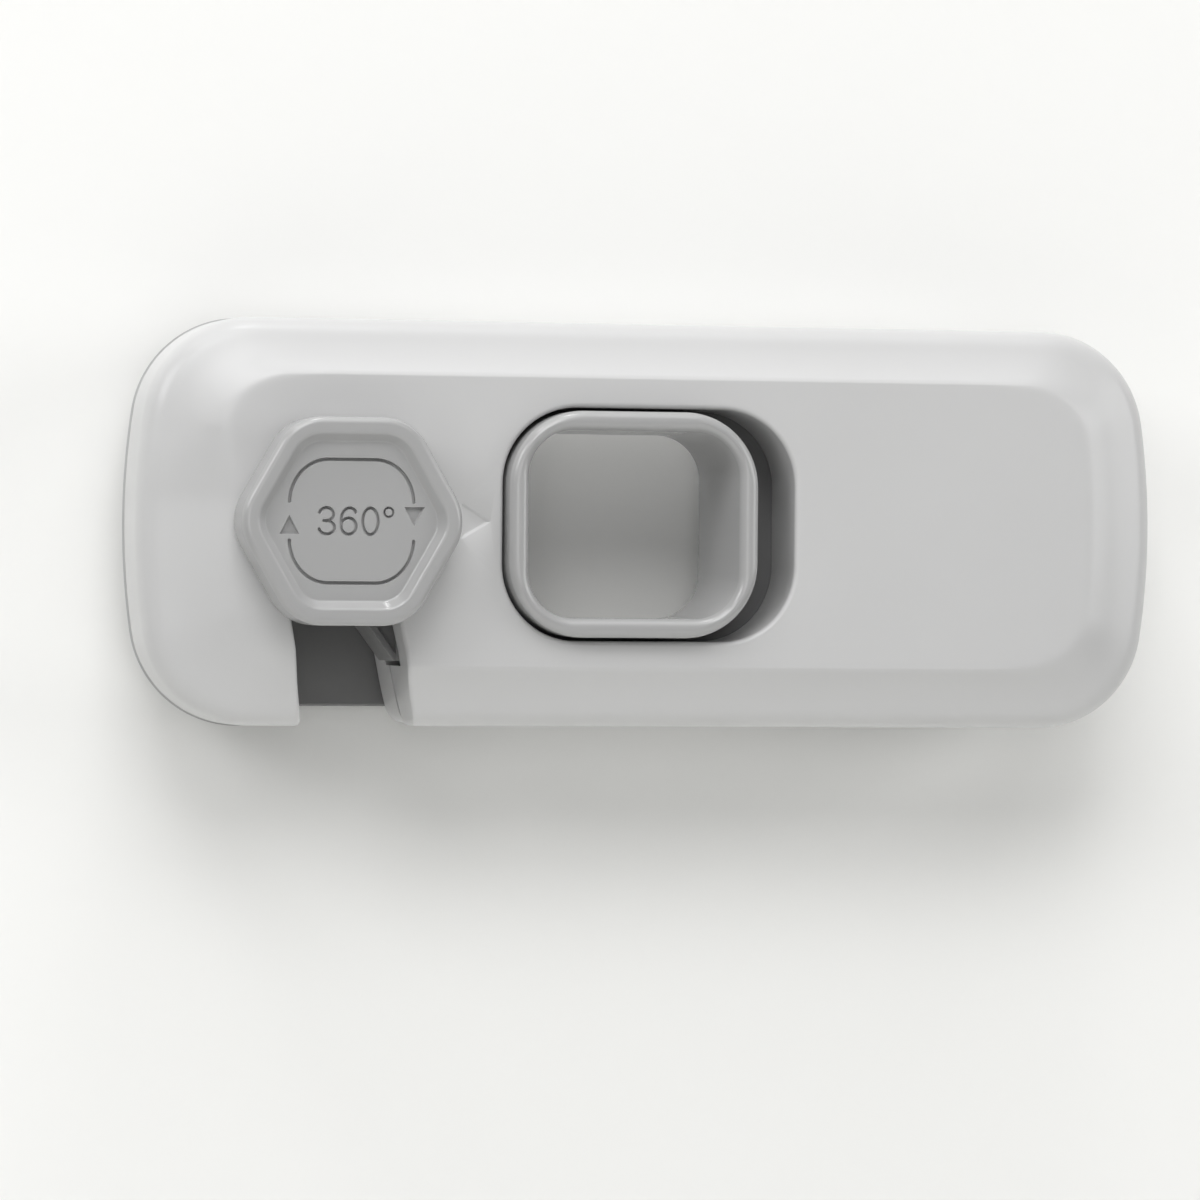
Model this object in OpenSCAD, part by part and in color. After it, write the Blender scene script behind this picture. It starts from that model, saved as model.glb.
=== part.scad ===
// Cabinet safety lock: a swing arm on one base hooks over a post on the other.
// The origin is the middle of the pivot pad's adhesive face, on the mounting plane.
// +X runs to the right, +Z up, and the lock's front faces -Y.

/* [Arm] */
// Distance from the post's axis to the arm's left end
arm_head = 18; // [17:0.5:20]
// Overall height of the swing arm
arm_h = 39; // [38:0.5:44]
// Thickness of the arm, from its back to its raised face
arm_t = 16; // [15.5:0.5:19]
// Distance from the pivot axis to the arm's right end
arm_tail = 26; // [24:0.5:30]
// Corner radius of the arm's outline
arm_corner_r = 10.5; // [9:0.5:12]
// Radius of the slightly bulged ends
arm_end_r = 60; // [50:5:90]
// Depth of the front cover, from the raised face to the parting line
front_t = 10; // [9.5:0.25:10.5]
// Wall of both covers
wall = 2; // [1.8:0.1:2.2]
// Width of the bevel between the outer wall and the raised face
bevel_w = 5.6; // [5:0.2:6]
// Fillet of the front cover's outer edge
edge_r = 2.6; // [2:0.2:3]
// Slope of the bevel where it leaves the outer edge, in degrees
bevel_low = 15; // [5:1:20]
// Slope of the bevel at the crease, in degrees
bevel_high = 48; // [40:1:55]
// Fillet of the rear cover's back edge
back_edge_r = 1.2; // [0.6:0.2:1.6]
// Chamfer that marks the parting line
parting_chamfer = 0.25; // [0.1:0.05:0.4]

/* [Catch slot] */
// Width of the slot in the front cover
slot_w = 10.3; // [9.8:0.1:11]
// How much further in each wall of the rear cover's slot stands
slot_step = 0.1; // [0:0.1:0.4]
// Room between the slot's closed end and the post at rest
seat_gap = 0.15; // [0.1:0.05:0.4]

/* [Finger ring] */
// Room between the ring and the knob's nearest corner
knob_room = 5.4; // [4.4:0.2:8]
// Room between the slider plate, drawn fully aside, and the pivot screw's head
plate_room = 1.4; // [1:0.1:3]
// Outer width of the ring
ring_w = 24.5; // [23.5:0.5:25]
// Outer height of the ring
ring_h = 21.6; // [20:0.4:22]
// Outer corner radius of the ring
ring_r = 6.6; // [5.5:0.2:8]
// Wall of the ring
ring_wall = 1.85; // [1.6:0.05:2.2]
// How far the ring stands proud of the raised face
ring_proud = 2; // [1.6:0.2:4]
// Sideways travel of the ring
travel = 4; // [3:0.5:4]
// Gap between the ring and the ends of its window
window_gap = 0.3; // [0.2:0.1:0.5]
// Gap between the ring and the window above and below it
window_side_gap = 0.5; // [0.3:0.1:0.7]
// Corner radius of the window
window_r = 5.7; // [4.5:0.2:6.4]

/* [Slider] */
// Thickness of the slider plate
plate_t = 1.5; // [1.2:0.1:1.8]
// Running clearance of the slider plate in its guides
slide_gap = 0.15; // [0.1:0.05:0.2]
// Thickness of the latch pawl's blade
pawl_t = 0.6; // [0.5:0.1:1]
// Depth of the latch pawl, across the thickness of the arm
pawl_w = 6.6; // [6:0.2:7]
// Outer radius of the return springs
spring_r = 1.9; // [1.5:0.1:2]
// Wire radius of the return springs
spring_wire_r = 0.25; // [0.2:0.05:0.3]
// Turns of each return spring
spring_turns = 7; // [5:1:9]

/* [Hexagonal knob] */
// Size of the knob across its flats
knob_flats = 19.6; // [18:0.2:22]
// Corner radius of the knob
knob_corner_r = 4.8; // [4.2:0.2:5.4]
// Height of the knob
knob_t = 4.7; // [4.1:0.2:7.1]
// Gap between the knob and the raised face
knob_gap = 0.6; // [0.4:0.1:1]
// Depth of the dished front
knob_dish = 1.3; // [0.8:0.1:1.8]

/* [Catch] */
// Width of the catch base
catch_w = 32; // [28:1:33]
// Height of the catch base
catch_h = 35.4; // [30.2:0.4:37]
// Corner radius of the catch base
catch_r = 8; // [6:0.5:10]
// Radius of the catch post
post_r = 4; // [3.8:0.1:4.2]
// Radius of the bore that the knob's stem turns in
post_bore_r = 2.55; // [2.3:0.05:2.7]

/* [Pivot] */
// Radius of the pivot base
pivot_base_r = 14.5; // [13:0.5:15.5]
// Radius of the pivot boss
boss_r = 5; // [4:0.25:5.5]
// Radial running clearance of the pivot and of the knob's stem
turn_gap = 0.05; // [0.03:0.01:0.08]

/* [Mounting side] */
// Thickness of the adhesive pads
pad_t = 1; // [0.8:0.1:1.6]
// Thickness of both base plates
base_t = 2.5; // [2.2:0.1:3]
// Gap between the base plates and the back of the arm
arm_gap = 0.7; // [0.6:0.1:1]

/* [Hidden] */
$fa = 5;
$fs = 0.4;

// One overrun serves all cuts
cut = 1;

// Places along the arm, worked out from the pivot to the left end
collar_t = 1.5;
pivot_head_r = 3.8;
plate_xr = -(pivot_head_r + plate_room + travel);
ring_x = -plate_xr + window_side_gap + collar_t + window_gap + travel + ring_w / 2;
knob_flat_l = (knob_flats - 2 * knob_corner_r) / sqrt(3);
reach = ring_x + ring_w / 2 + knob_room + knob_flat_l + knob_corner_r;
arm_xl = -reach - arm_head;

// Depths in front of the mounting plane
back_d = pad_t + base_t + arm_gap;
part_d = back_d + arm_t - front_t;
face_d = back_d + arm_t;
knob_d = face_d + knob_gap;
floor_d = back_d + wall;

// Outline of the arm
half_h = arm_h / 2;
corner_y = half_h - arm_corner_r;
end_a = asin(corner_y / (arm_end_r - arm_corner_r));
end_xr = arm_tail - arm_end_r;
end_xl = arm_xl + arm_end_r;
corner_xr = end_xr + (arm_end_r - arm_corner_r) * cos(end_a);
corner_xl = end_xl - (arm_end_r - arm_corner_r) * cos(end_a);

// Bevel of the front cover
bevel_run = bevel_w - edge_r * (1 - sin(bevel_low));
bevel_r = bevel_run / (sin(bevel_high) - sin(bevel_low));
bevel_rise = bevel_r * (cos(bevel_low) - cos(bevel_high));
wall_top = front_t - bevel_rise - edge_r * cos(bevel_low);
corner_steps = 8;
end_steps = 4;

// Slot and its collar
slot_half = slot_w / 2;
slot_open_a = 28;
slot_steps = 10;
slot_end_steps = 16;

// Window, ring and slider plate
window_x = -ring_x + travel / 2;
window_w = ring_w + travel + 2 * window_gap;
window_h = ring_h + 2 * window_side_gap;
hole_w = ring_w - 2 * ring_wall;
hole_h = ring_h - 2 * ring_wall;
hole_r = ring_r - ring_wall;
plate_d = part_d + slide_gap;
plate_front_d = plate_d + plate_t;
collar_d = plate_front_d + slide_gap;
plate_lap = 1.2;
plate_rim = 1.9;
plate_h = window_h + 2 * plate_rim;
plate_r = 2;
plate_xl = window_x - window_w / 2 - travel - plate_lap;
snap_groove = 0.3;
snap_gap = 0.05;
ring_end_gap = 0.4;
ring_back_d = floor_d + ring_end_gap;
ring_crest_d = face_d + ring_proud;
ring_edge_r = 0.8;

// Latch pawl
pawl_drop = 5.4;
pawl_fall = 7.9;
pawl_lead = 0.75;
pawl_tip_x = pawl_lead - reach;
pawl_run = 5.85;
pawl_tip = [pawl_tip_x, -pawl_drop];
pawl_root = [pawl_tip_x + pawl_run, -pawl_drop - pawl_fall];
pawl_sink = 4.5;
pawl_front_d = face_d - pawl_sink;
pawl_back_d = pawl_front_d - pawl_w;
foot_w = 3;
foot_h = 3;
foot_y = pawl_root[1] + pawl_t / 4;
foot_xl = pawl_root[0] - pawl_t / 2;
lug_inset = 0.35;
pawl_room = 0.4;
pawl_under_gap = 0.5;

// Return springs
spring_y = plate_h / 2 - plate_rim - spring_r / 2 + snap_gap;
spring_d = plate_d + plate_t / 2;
spring_len = 12;
spring_seat = 0.1;
spring_xl = plate_xr + spring_seat;
spring_xr = spring_xl + spring_len;
spring_pin_r = 1;
spring_pin_l = 2.5;
abutment_t = 1.5;

// Guides of the slider plate
rail_t = 1.5;
ledge_w = 1.6;
rail_d = plate_front_d - slide_gap;

// Cover screws and their bosses
screw_r = 1.2;
screw_pilot_gap = 0.05;
screw_head_r = 2.4;
screw_head_t = 1.6;
screw_gap = 0.2;
screw_sink = 2.2;
screw_l = 9.2;
screw_end_gap = 0.5;
front_boss_r = 2.75;
rear_boss_wall = 1.3;
screw_inset = 6.8;
screw_side = 7.3;
screw_mid_x = plate_xl - screw_head_r - screw_gap - rear_boss_wall - slide_gap;
screw_spots = concat(
    [for (x = [arm_xl + screw_inset, arm_tail - screw_inset], side = [-1, 1])
        [x, side * (half_h - screw_side)]],
    [[screw_mid_x, half_h - wall - front_boss_r - slide_gap]]
);

// Lip that centres the covers
lip_t = 1.2;
lip_h = 1;
lip_root = 0.5;

// Pivot stack
shim_t = 0.6;
shim_r = 10;
collar_r = 8;
collar_h = 2.2;
end_play = 0.1;
boss_top_d = floor_d + collar_h + end_play;
washer_r = 7;
washer_t = 1;
pivot_screw_r = 1.6;
pivot_screw_l = 6.4;
pivot_head_t = 2.2;
socket_depth = 1;
socket_flats = 2.5;

// Catch post and the knob's fixing
post_top_gap = 0.2;
post_foot_r = 6.5;
post_foot_t = 1;
post_shoulder_t = 1;
post_sink_r = 3.2;
post_sink_d = 4.9;
knob_screw_r = 1.2;
knob_head_r = 2.7;
knob_head_t = 1.5;
knob_screw_l = 9;
knob_washer_r = 3.05;
knob_washer_t = 0.5;
stem_r = post_bore_r - turn_gap;
stem_flange_r = 6;
stem_flange_t = 1.8;

// Knob cap
knob_edge_r = 0.9;
knob_rim_w = 1.6;
knob_slope_w = 1.3;
knob_corner_steps = 6;
knob_dish_r = 0.5;

// Pads
pad_inset = 0.5;

// Turns a shape drawn in the mounting plane so that its front faces -Y
module stand() rotate([90, 0, 0]) children();

// A shape drawn in the mounting plane, between two depths
module slab(from, to) translate([0, 0, from]) linear_extrude(to - from) children();

// Points along an arc; the first may be left out where it repeats the point before it
function arc(centre, r, from, to, steps, first = 0) =
    [for (i = [first:steps]) let (a = from + (to - from) * i / steps) centre + r * [cos(a), sin(a)]];

module round_rect(w, h, r) {
    square([w - 2 * r, h], center = true);
    square([w, h - 2 * r], center = true);
    for (x = [-1, 1], y = [-1, 1])
        translate([x * (w / 2 - r), y * (h / 2 - r)])
            circle(r = r);
}

// A profile turned round a corner, with its edge at radius r and its inside towards the axis
module corner_sweep(start, angle, r)
    rotate([0, 0, start]) rotate_extrude(angle = angle) translate([r, 0]) mirror([1, 0]) children();

// A profile run along a straight edge, which starts at the origin and runs along +X
module edge_sweep(length)
    rotate([90, 0, 90]) linear_extrude(length) mirror([1, 0]) children();

// A profile swept round a rounded rectangle
module frame_sweep(w, h, r)
    for (i = [0:3])
        rotate([0, 0, 90 * i]) {
            a = i % 2 == 0 ? w : h;
            b = i % 2 == 0 ? h : w;
            translate([r - a / 2, b / 2, 0]) edge_sweep(a - 2 * r) children();
            translate([a / 2 - r, b / 2 - r, 0]) corner_sweep(0, 90, r) children();
        }

// The arm's outline, moved in by an inset
module arm_outline(inset) {
    translate([corner_xl, inset - half_h]) square([corner_xr - corner_xl, arm_h - 2 * inset]);
    for (x = [corner_xl, corner_xr], y = [-corner_y, corner_y])
        translate([x, y])
            circle(r = arm_corner_r - inset);
    for (side = [-1, 1])
        translate([side < 0 ? end_xl : end_xr, 0])
            intersection() {
                circle(r = arm_end_r - inset);
                polygon([[0, 0], for (a = [-end_a, end_a]) side * (arm_end_r + cut) * [cos(a), sin(a)]]);
            }
}

// Points round the arm's outline, moved in by an inset
function arm_points(inset) =
    let (r = arm_corner_r - inset, end_r = arm_end_r - inset) concat(
        arc([end_xr, 0], end_r, -end_a, end_a, end_steps, 1),
        arc([corner_xr, corner_y], r, end_a, 90, corner_steps, 1),
        arc([corner_xl, corner_y], r, 90, 180 - end_a, corner_steps),
        arc([end_xl, 0], end_r, 180 - end_a, 180 + end_a, end_steps, 1),
        arc([corner_xl, -corner_y], r, 180 + end_a, 270, corner_steps, 1),
        arc([corner_xr, -corner_y], r, 270, 360 - end_a, corner_steps)
    );

// Faces of a closed stack of rings with the same number of points
function stack_faces(sides, levels) = concat(
    [[for (k = [0:sides - 1]) k]],
    [[for (k = [sides - 1:-1:0]) (levels - 1) * sides + k]],
    [for (i = [0:levels - 2], k = [0:sides - 1]) let (n = (k + 1) % sides)
        [i * sides + k, (i + 1) * sides + k, (i + 1) * sides + n, i * sides + n]]
);

// A solid lofted through one outline for each [inset, height] step of a profile
module loft(profile, outlines)
    polyhedron(
        points = [for (i = [0:len(profile) - 1], q = outlines[i]) [q[0], q[1], profile[i][1]]],
        faces = stack_faces(len(outlines[0]), len(profile))
    );

module arm_loft(profile) loft(profile, [for (p = profile) arm_points(p[0])]);

// The slot is an arc about the pivot axis, open at the arm's bottom edge
module slot_shape(half, grow) {
    rest_a = asin((half - post_r - seat_gap) / reach);
    r = half + grow;
    polygon(concat(
        arc([0, 0], reach + r, 180 + slot_open_a, 180 + rest_a, slot_steps),
        arc(-reach * [cos(rest_a), sin(rest_a)], r, 180 + rest_a, rest_a, slot_end_steps, 1),
        arc([0, 0], reach - r, 180 + rest_a, 180 + slot_open_a, slot_steps, 1)
    ));
}

module ring_place(gap) translate([-ring_x, 0]) round_rect(ring_w + 2 * gap, ring_h + 2 * gap, ring_r + gap);

module window_shape(grow)
    translate([window_x, 0]) round_rect(window_w + 2 * grow, window_h + 2 * grow, window_r + grow);

// The opening in the slot's right wall that the pawl draws back into
module pawl_opening() {
    low = pawl_root[1] - pawl_t / 4 - pawl_under_gap + pawl_t / 2;
    slab(pawl_back_d - pawl_room, pawl_front_d + pawl_room)
        translate([-reach + slot_half - collar_t, low])
            square([slot_half + collar_t * 2, -post_r - low]);
}

module screw_holes(r, from, to)
    for (p = screw_spots)
        translate(p)
            slab(from, to) circle(r = r);

// Front cover: a bevel lofted up the outline to the raised face, with a hollow inside
module front_body()
    translate([0, 0, part_d]) arm_loft(concat(
        [[parting_chamfer, 0], [0, parting_chamfer]],
        arc([edge_r, wall_top], edge_r, 180, 90 + bevel_low, 5),
        arc([bevel_w - bevel_r * sin(bevel_high), front_t + bevel_r * cos(bevel_high)],
            bevel_r, bevel_low - 90, bevel_high - 90, 5, 1)
    ));

module front_hollow() {
    difference() {
        union() {
            slab(part_d - cut, part_d + wall_top) arm_outline(wall);
            slab(part_d, face_d - wall) arm_outline(bevel_w);
        }
        slab(collar_d, face_d) window_shape(collar_t);
        slab(part_d - cut, face_d) slot_shape(slot_half, collar_t);
        screw_holes(front_boss_r, part_d - cut, face_d);
    }
}

module front_cover() color("#c8c8c8") stand()
    difference() {
        front_body();
        front_hollow();
        slab(part_d, face_d + cut) window_shape(0);
        slab(part_d - cut, face_d + cut) slot_shape(slot_half, 0);
        pawl_opening();
        screw_holes(screw_r + screw_pilot_gap, part_d - cut, back_d + screw_sink + screw_l + screw_end_gap);
    }

// Rear cover: a tray with the slider's guides, the springs' seats and the pivot's bearing
module rear_body()
    translate([0, 0, back_d]) arm_loft(concat(
        arc([back_edge_r, back_edge_r], back_edge_r, 270, 180, 4),
        [[0, part_d - back_d - parting_chamfer], [parting_chamfer, part_d - back_d]]
    ));

module rear_hollow()
    difference() {
        slab(floor_d, part_d + cut) arm_outline(wall + slide_gap + lip_t);
        slab(back_d, part_d + cut) slot_shape(slot_half - slot_step, collar_t + slot_step);
        screw_holes(screw_head_r + screw_gap + rear_boss_wall, back_d, part_d + cut);
        slab(back_d, floor_d + collar_h) circle(r = collar_r);
    }

module lip()
    difference() {
        slab(part_d - lip_root, part_d + lip_h)
            difference() {
                arm_outline(wall + slide_gap);
                arm_outline(wall + slide_gap + lip_t);
            }
        screw_holes(front_boss_r + slide_gap, part_d, part_d + lip_h + cut);
        slab(part_d, part_d + lip_h + cut) slot_shape(slot_half, collar_t + slide_gap);
        slab(part_d, part_d + lip_h + cut)
            translate([plate_xl - slide_gap, -plate_h / 2 - slide_gap])
                square([plate_xr + travel - plate_xl + 2 * slide_gap, plate_h + 2 * slide_gap]);
    }

module guides() {
    guide_y = plate_h / 2 + slide_gap;
    guide_xr = plate_xr + travel;
    low_xl = foot_xl + foot_w + travel + pawl_under_gap;
    for (side = [-1, 1]) {
        guide_xl = side < 0 ? low_xl : plate_xl;
        rail_y = side > 0 ? guide_y : -guide_y - rail_t;
        ledge_y = side > 0 ? guide_y - ledge_w : -guide_y;
        translate([guide_xl, rail_y]) slab(floor_d - wall / 2, rail_d) square([guide_xr - guide_xl, rail_t]);
        translate([guide_xl, ledge_y])
            slab(floor_d - wall / 2, plate_d - slide_gap)
                square([plate_xr - slide_gap - guide_xl, ledge_w + rail_t / 2]);
        translate([spring_xr + spring_seat, side * spring_y - spring_r])
            slab(floor_d - wall / 2, spring_d + spring_r) square([abutment_t, 2 * spring_r]);
    }
}

module rear_cover() color("#bdbdbd") stand()
    difference() {
        union() {
            difference() {
                rear_body();
                rear_hollow();
                slab(part_d, part_d + cut) arm_outline(0);
            }
            lip();
            guides();
        }
        slab(back_d - cut, part_d + lip_h + cut) slot_shape(slot_half - slot_step, 0);
        slab(back_d - cut, floor_d + cut)
            translate([window_x, 0])
                round_rect(hole_w + travel + 2 * window_gap, hole_h + 2 * window_gap, hole_r + window_gap);
        slab(back_d - cut, floor_d + collar_h + cut) circle(r = boss_r + turn_gap);
        screw_holes(screw_head_r + screw_gap, back_d - cut, back_d + screw_sink);
        screw_holes(screw_r + screw_gap, back_d, part_d + cut);
        pawl_opening();
    }

module cover_screws() color("#8f9296") stand()
    for (p = screw_spots)
        translate([p[0], p[1], back_d + screw_sink]) {
            difference() {
                translate([0, 0, -screw_head_t]) cylinder(h = screw_head_t, r = screw_head_r);
                cross_recess(-screw_head_t, screw_head_r);
            }
            cylinder(h = screw_l, r = screw_r);
        }

// A cross recess in a screw's head, which opens at the given height and is cut upwards
module cross_recess(z, head_r) {
    arm_w = head_r / 4;
    depth = head_r / 3;
    for (a = [0, 90])
        rotate([0, 0, a])
            translate([-head_r / 2, -arm_w / 2, z - cut])
                cube([head_r, arm_w, depth + cut]);
}

// Slider plate, which carries the finger ring, the pawl and the springs' pins
module slider_plate() color("#6e6e6e") stand() {
    slab(plate_d, plate_front_d)
        difference() {
            union() {
                translate([(plate_xl + plate_xr) / 2, 0]) round_rect(plate_xr - plate_xl, plate_h, plate_r);
                translate([foot_xl + lug_inset, foot_y + lug_inset])
                    square([plate_xl - foot_xl + plate_r, foot_h - 2 * lug_inset]);
            }
            ring_place(snap_gap - snap_groove);
        }
    for (side = [-1, 1])
        translate([plate_xr, side * spring_y, spring_d])
            rotate([0, 90, 0])
                intersection() {
                    cylinder(h = spring_pin_l, r = spring_pin_r);
                    cube([plate_t, 2 * spring_pin_r, 2 * spring_pin_l], center = true);
                }
}

// Finger ring: one profile swept round a rounded rectangle
module finger_ring() color("#a8a8a8") stand()
    translate([-ring_x, 0, 0]) frame_sweep(ring_w, ring_h, ring_r) polygon(concat(
        [[0, ring_back_d], [0, plate_d], [snap_groove, plate_d], [snap_groove, plate_front_d],
            [0, plate_front_d]],
        arc([ring_edge_r, ring_crest_d - ring_edge_r], ring_edge_r, 180, 90, 4),
        arc([ring_wall - ring_edge_r, ring_crest_d - ring_edge_r], ring_edge_r, 90, 0, 4),
        [[ring_wall, ring_back_d]]
    ));

// Latch pawl: a springy blade that stands under the post, on a foot that clips to the plate
module latch_pawl() color("#5c5c5c") stand() {
    blade = pawl_tip - pawl_root;
    difference() {
        slab(pawl_back_d, pawl_front_d) {
            translate(pawl_root)
                rotate(atan2(blade[1], blade[0]))
                    translate([0, -pawl_t / 2])
                        square([norm(blade), pawl_t]);
            translate(pawl_tip) circle(r = pawl_t / 2);
            translate(pawl_root) circle(r = pawl_t / 2);
            translate([foot_xl, foot_y]) square([foot_w, foot_h]);
        }
        slab(pawl_back_d - cut, pawl_front_d + cut)
            translate([pawl_root[0] - pawl_t, foot_y - pawl_t])
                square([2 * pawl_t, pawl_t]);
        slab(plate_d - snap_gap, plate_front_d + snap_gap)
            translate([foot_xl + lug_inset - snap_gap, foot_y + lug_inset - snap_gap])
                square([foot_w, foot_h - 2 * (lug_inset - snap_gap)]);
    }
}

// A compression spring: a round wire swept along a helix about +X
function helix_point(t) = [
    spring_wire_r + t * (spring_len - 2 * spring_wire_r),
    (spring_r - spring_wire_r) * cos(360 * spring_turns * t),
    (spring_r - spring_wire_r) * sin(360 * spring_turns * t)
];

module spring(side) {
    steps = 12 * spring_turns;
    sides = 6;
    rings = [for (i = [0:steps]) let (
        a = 360 * spring_turns * i / steps,
        out = [0, cos(a), sin(a)]
    ) [for (k = [0:sides - 1])
        helix_point(i / steps)
            + spring_wire_r * (cos(360 * k / sides) * out + [sin(360 * k / sides), 0, 0])]];
    translate([spring_xl, side * spring_y, spring_d])
        polyhedron(points = [for (r = rings) each r], faces = stack_faces(sides, steps + 1));
}

module upper_spring() color("#b9bcc0") stand() spring(1);

module lower_spring() color("#b9bcc0") stand() spring(-1);

// Points round a hexagon with rounded corners, moved in by an inset
function hex_points(inset) = [for (i = [0:5])
    each arc(knob_flat_l * [cos(60 * i), sin(60 * i)], knob_corner_r - inset,
        60 * i - 30, 60 * i + 30, knob_corner_steps)];

// Knob cap: a hexagonal rim round a dished front
module knob_cap() color("#a6a6a6") stand() {
    profile = concat(
        [[0, 0]],
        arc([knob_edge_r, knob_t - knob_edge_r], knob_edge_r, 180, 90, 4),
        arc([knob_rim_w - knob_dish_r, knob_t - knob_dish_r], knob_dish_r, 90, 45, 2),
        [[knob_rim_w + knob_slope_w, knob_t - knob_dish]]
    );
    translate([-reach, 0, knob_d])
        difference() {
            loft(profile, [for (p = profile) hex_points(p[0])]);
            translate([0, 0, -cut]) cylinder(h = stem_flange_t + cut, r = stem_flange_r + turn_gap);
        }
}

// The stem carries the cap and turns in the post
module knob_stem() color("#909090") stand()
    translate([-reach, 0, 0])
        difference() {
            union() {
                translate([0, 0, post_sink_d + post_shoulder_t + end_play])
                    cylinder(h = knob_d - post_sink_d - post_shoulder_t, r = stem_r);
                translate([0, 0, knob_d]) cylinder(h = stem_flange_t, r = stem_flange_r);
            }
            translate([0, 0, post_sink_d])
                cylinder(h = knob_screw_l + screw_end_gap, r = knob_screw_r + screw_pilot_gap);
        }

module knob_washer() color("#b4b6b9") stand()
    translate([-reach, 0, post_sink_d - end_play - knob_washer_t])
        difference() {
            cylinder(h = knob_washer_t, r = knob_washer_r);
            translate([0, 0, -cut]) cylinder(h = knob_washer_t + 2 * cut, r = knob_screw_r + screw_gap);
        }

module knob_screw() color("#8f9296") stand()
    translate([-reach, 0, post_sink_d - end_play - knob_washer_t]) {
        difference() {
            translate([0, 0, -knob_head_t]) cylinder(h = knob_head_t, r = knob_head_r);
            cross_recess(-knob_head_t, knob_head_r);
        }
        cylinder(h = knob_screw_l, r = knob_screw_r);
    }

module catch_pad() color("#3c3c3c") stand()
    translate([-reach, 0, 0])
        linear_extrude(pad_t)
            round_rect(catch_w - 2 * pad_inset, catch_h - 2 * pad_inset, catch_r - pad_inset);

module catch_base() color("#6a6a6a") stand()
    translate([-reach, 0, 0])
        difference() {
            slab(pad_t, pad_t + base_t) round_rect(catch_w, catch_h, catch_r);
            slab(pad_t - cut, pad_t + base_t + cut) circle(r = post_r + screw_pilot_gap);
            slab(pad_t - cut, pad_t + post_foot_t + screw_pilot_gap)
                circle(r = post_foot_r + screw_pilot_gap);
        }

// A hollow post with a foot that the base holds against the pad
module catch_post() color("#b0b0b0") stand()
    translate([-reach, 0, 0])
        difference() {
            union() {
                slab(pad_t, knob_d - post_top_gap) circle(r = post_r);
                slab(pad_t, pad_t + post_foot_t) circle(r = post_foot_r);
            }
            slab(pad_t - cut, post_sink_d) circle(r = post_sink_r);
            slab(post_sink_d - cut, knob_d) circle(r = knob_screw_r + screw_gap);
            slab(post_sink_d + post_shoulder_t, knob_d + cut) circle(r = post_bore_r);
        }

module pivot_pad() color("#3c3c3c") stand()
    cylinder(h = pad_t, r = pivot_base_r - pad_inset);

module pivot_base() color("#6a6a6a") stand()
    difference() {
        union() {
            slab(pad_t, pad_t + base_t) circle(r = pivot_base_r);
            slab(pad_t, boss_top_d) circle(r = boss_r);
        }
        slab(boss_top_d - pivot_screw_l, boss_top_d + cut) circle(r = pivot_screw_r + screw_pilot_gap);
    }

module pivot_shim() color("#d8d8d4") stand()
    difference() {
        slab(pad_t + base_t, pad_t + base_t + shim_t) circle(r = shim_r);
        slab(pad_t, back_d) circle(r = boss_r + turn_gap);
    }

module pivot_washer() color("#b4b6b9") stand()
    difference() {
        slab(boss_top_d, boss_top_d + washer_t) circle(r = washer_r);
        slab(boss_top_d - cut, boss_top_d + washer_t + cut) circle(r = pivot_screw_r + screw_gap);
    }

module pivot_screw() color("#8f9296") stand()
    difference() {
        union() {
            slab(boss_top_d + washer_t, boss_top_d + washer_t + pivot_head_t) circle(r = pivot_head_r);
            slab(boss_top_d - pivot_screw_l + screw_end_gap, boss_top_d + washer_t + cut)
                circle(r = pivot_screw_r);
        }
        slab(boss_top_d + washer_t + pivot_head_t - socket_depth, boss_top_d + washer_t + pivot_head_t + cut)
            circle(r = socket_flats, $fn = 6);
    }

catch_pad();
catch_base();
catch_post();
pivot_pad();
pivot_base();
pivot_shim();
pivot_washer();
pivot_screw();
rear_cover();
front_cover();
cover_screws();
slider_plate();
finger_ring();
latch_pawl();
upper_spring();
lower_spring();
knob_cap();
knob_stem();
knob_washer();
knob_screw();
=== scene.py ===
# Cabinet safety lock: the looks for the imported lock, in its own frame (metres, front towards -Y, Z up)
import bpy
import bmesh
import math
import numpy as np
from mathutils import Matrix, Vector
from mathutils.geometry import delaunay_2d_cdt


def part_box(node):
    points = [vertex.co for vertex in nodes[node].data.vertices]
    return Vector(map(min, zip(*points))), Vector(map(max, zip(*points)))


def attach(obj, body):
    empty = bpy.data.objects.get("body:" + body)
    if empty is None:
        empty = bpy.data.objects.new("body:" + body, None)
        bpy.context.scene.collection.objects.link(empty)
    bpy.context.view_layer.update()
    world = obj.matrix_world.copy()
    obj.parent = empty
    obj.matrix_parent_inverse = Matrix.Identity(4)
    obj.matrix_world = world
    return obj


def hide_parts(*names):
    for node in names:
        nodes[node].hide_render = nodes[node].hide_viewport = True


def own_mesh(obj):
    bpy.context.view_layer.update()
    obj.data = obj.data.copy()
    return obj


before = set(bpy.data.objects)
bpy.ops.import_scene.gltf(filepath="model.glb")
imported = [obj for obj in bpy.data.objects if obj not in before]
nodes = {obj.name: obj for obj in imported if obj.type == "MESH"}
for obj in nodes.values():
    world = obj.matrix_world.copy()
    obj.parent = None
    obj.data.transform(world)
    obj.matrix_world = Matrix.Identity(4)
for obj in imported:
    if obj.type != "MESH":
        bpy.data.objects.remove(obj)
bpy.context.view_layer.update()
scene = bpy.context.scene
mm = 0.001
print("frame loaded:", len(nodes), "nodes")


def depths(node):  # of a node's front and back, in mm in front of the mounting plane
    return [-corner.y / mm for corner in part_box(node)]


def middleX(node):
    return (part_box(node)[0].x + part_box(node)[1].x) / 2 / mm


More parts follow.
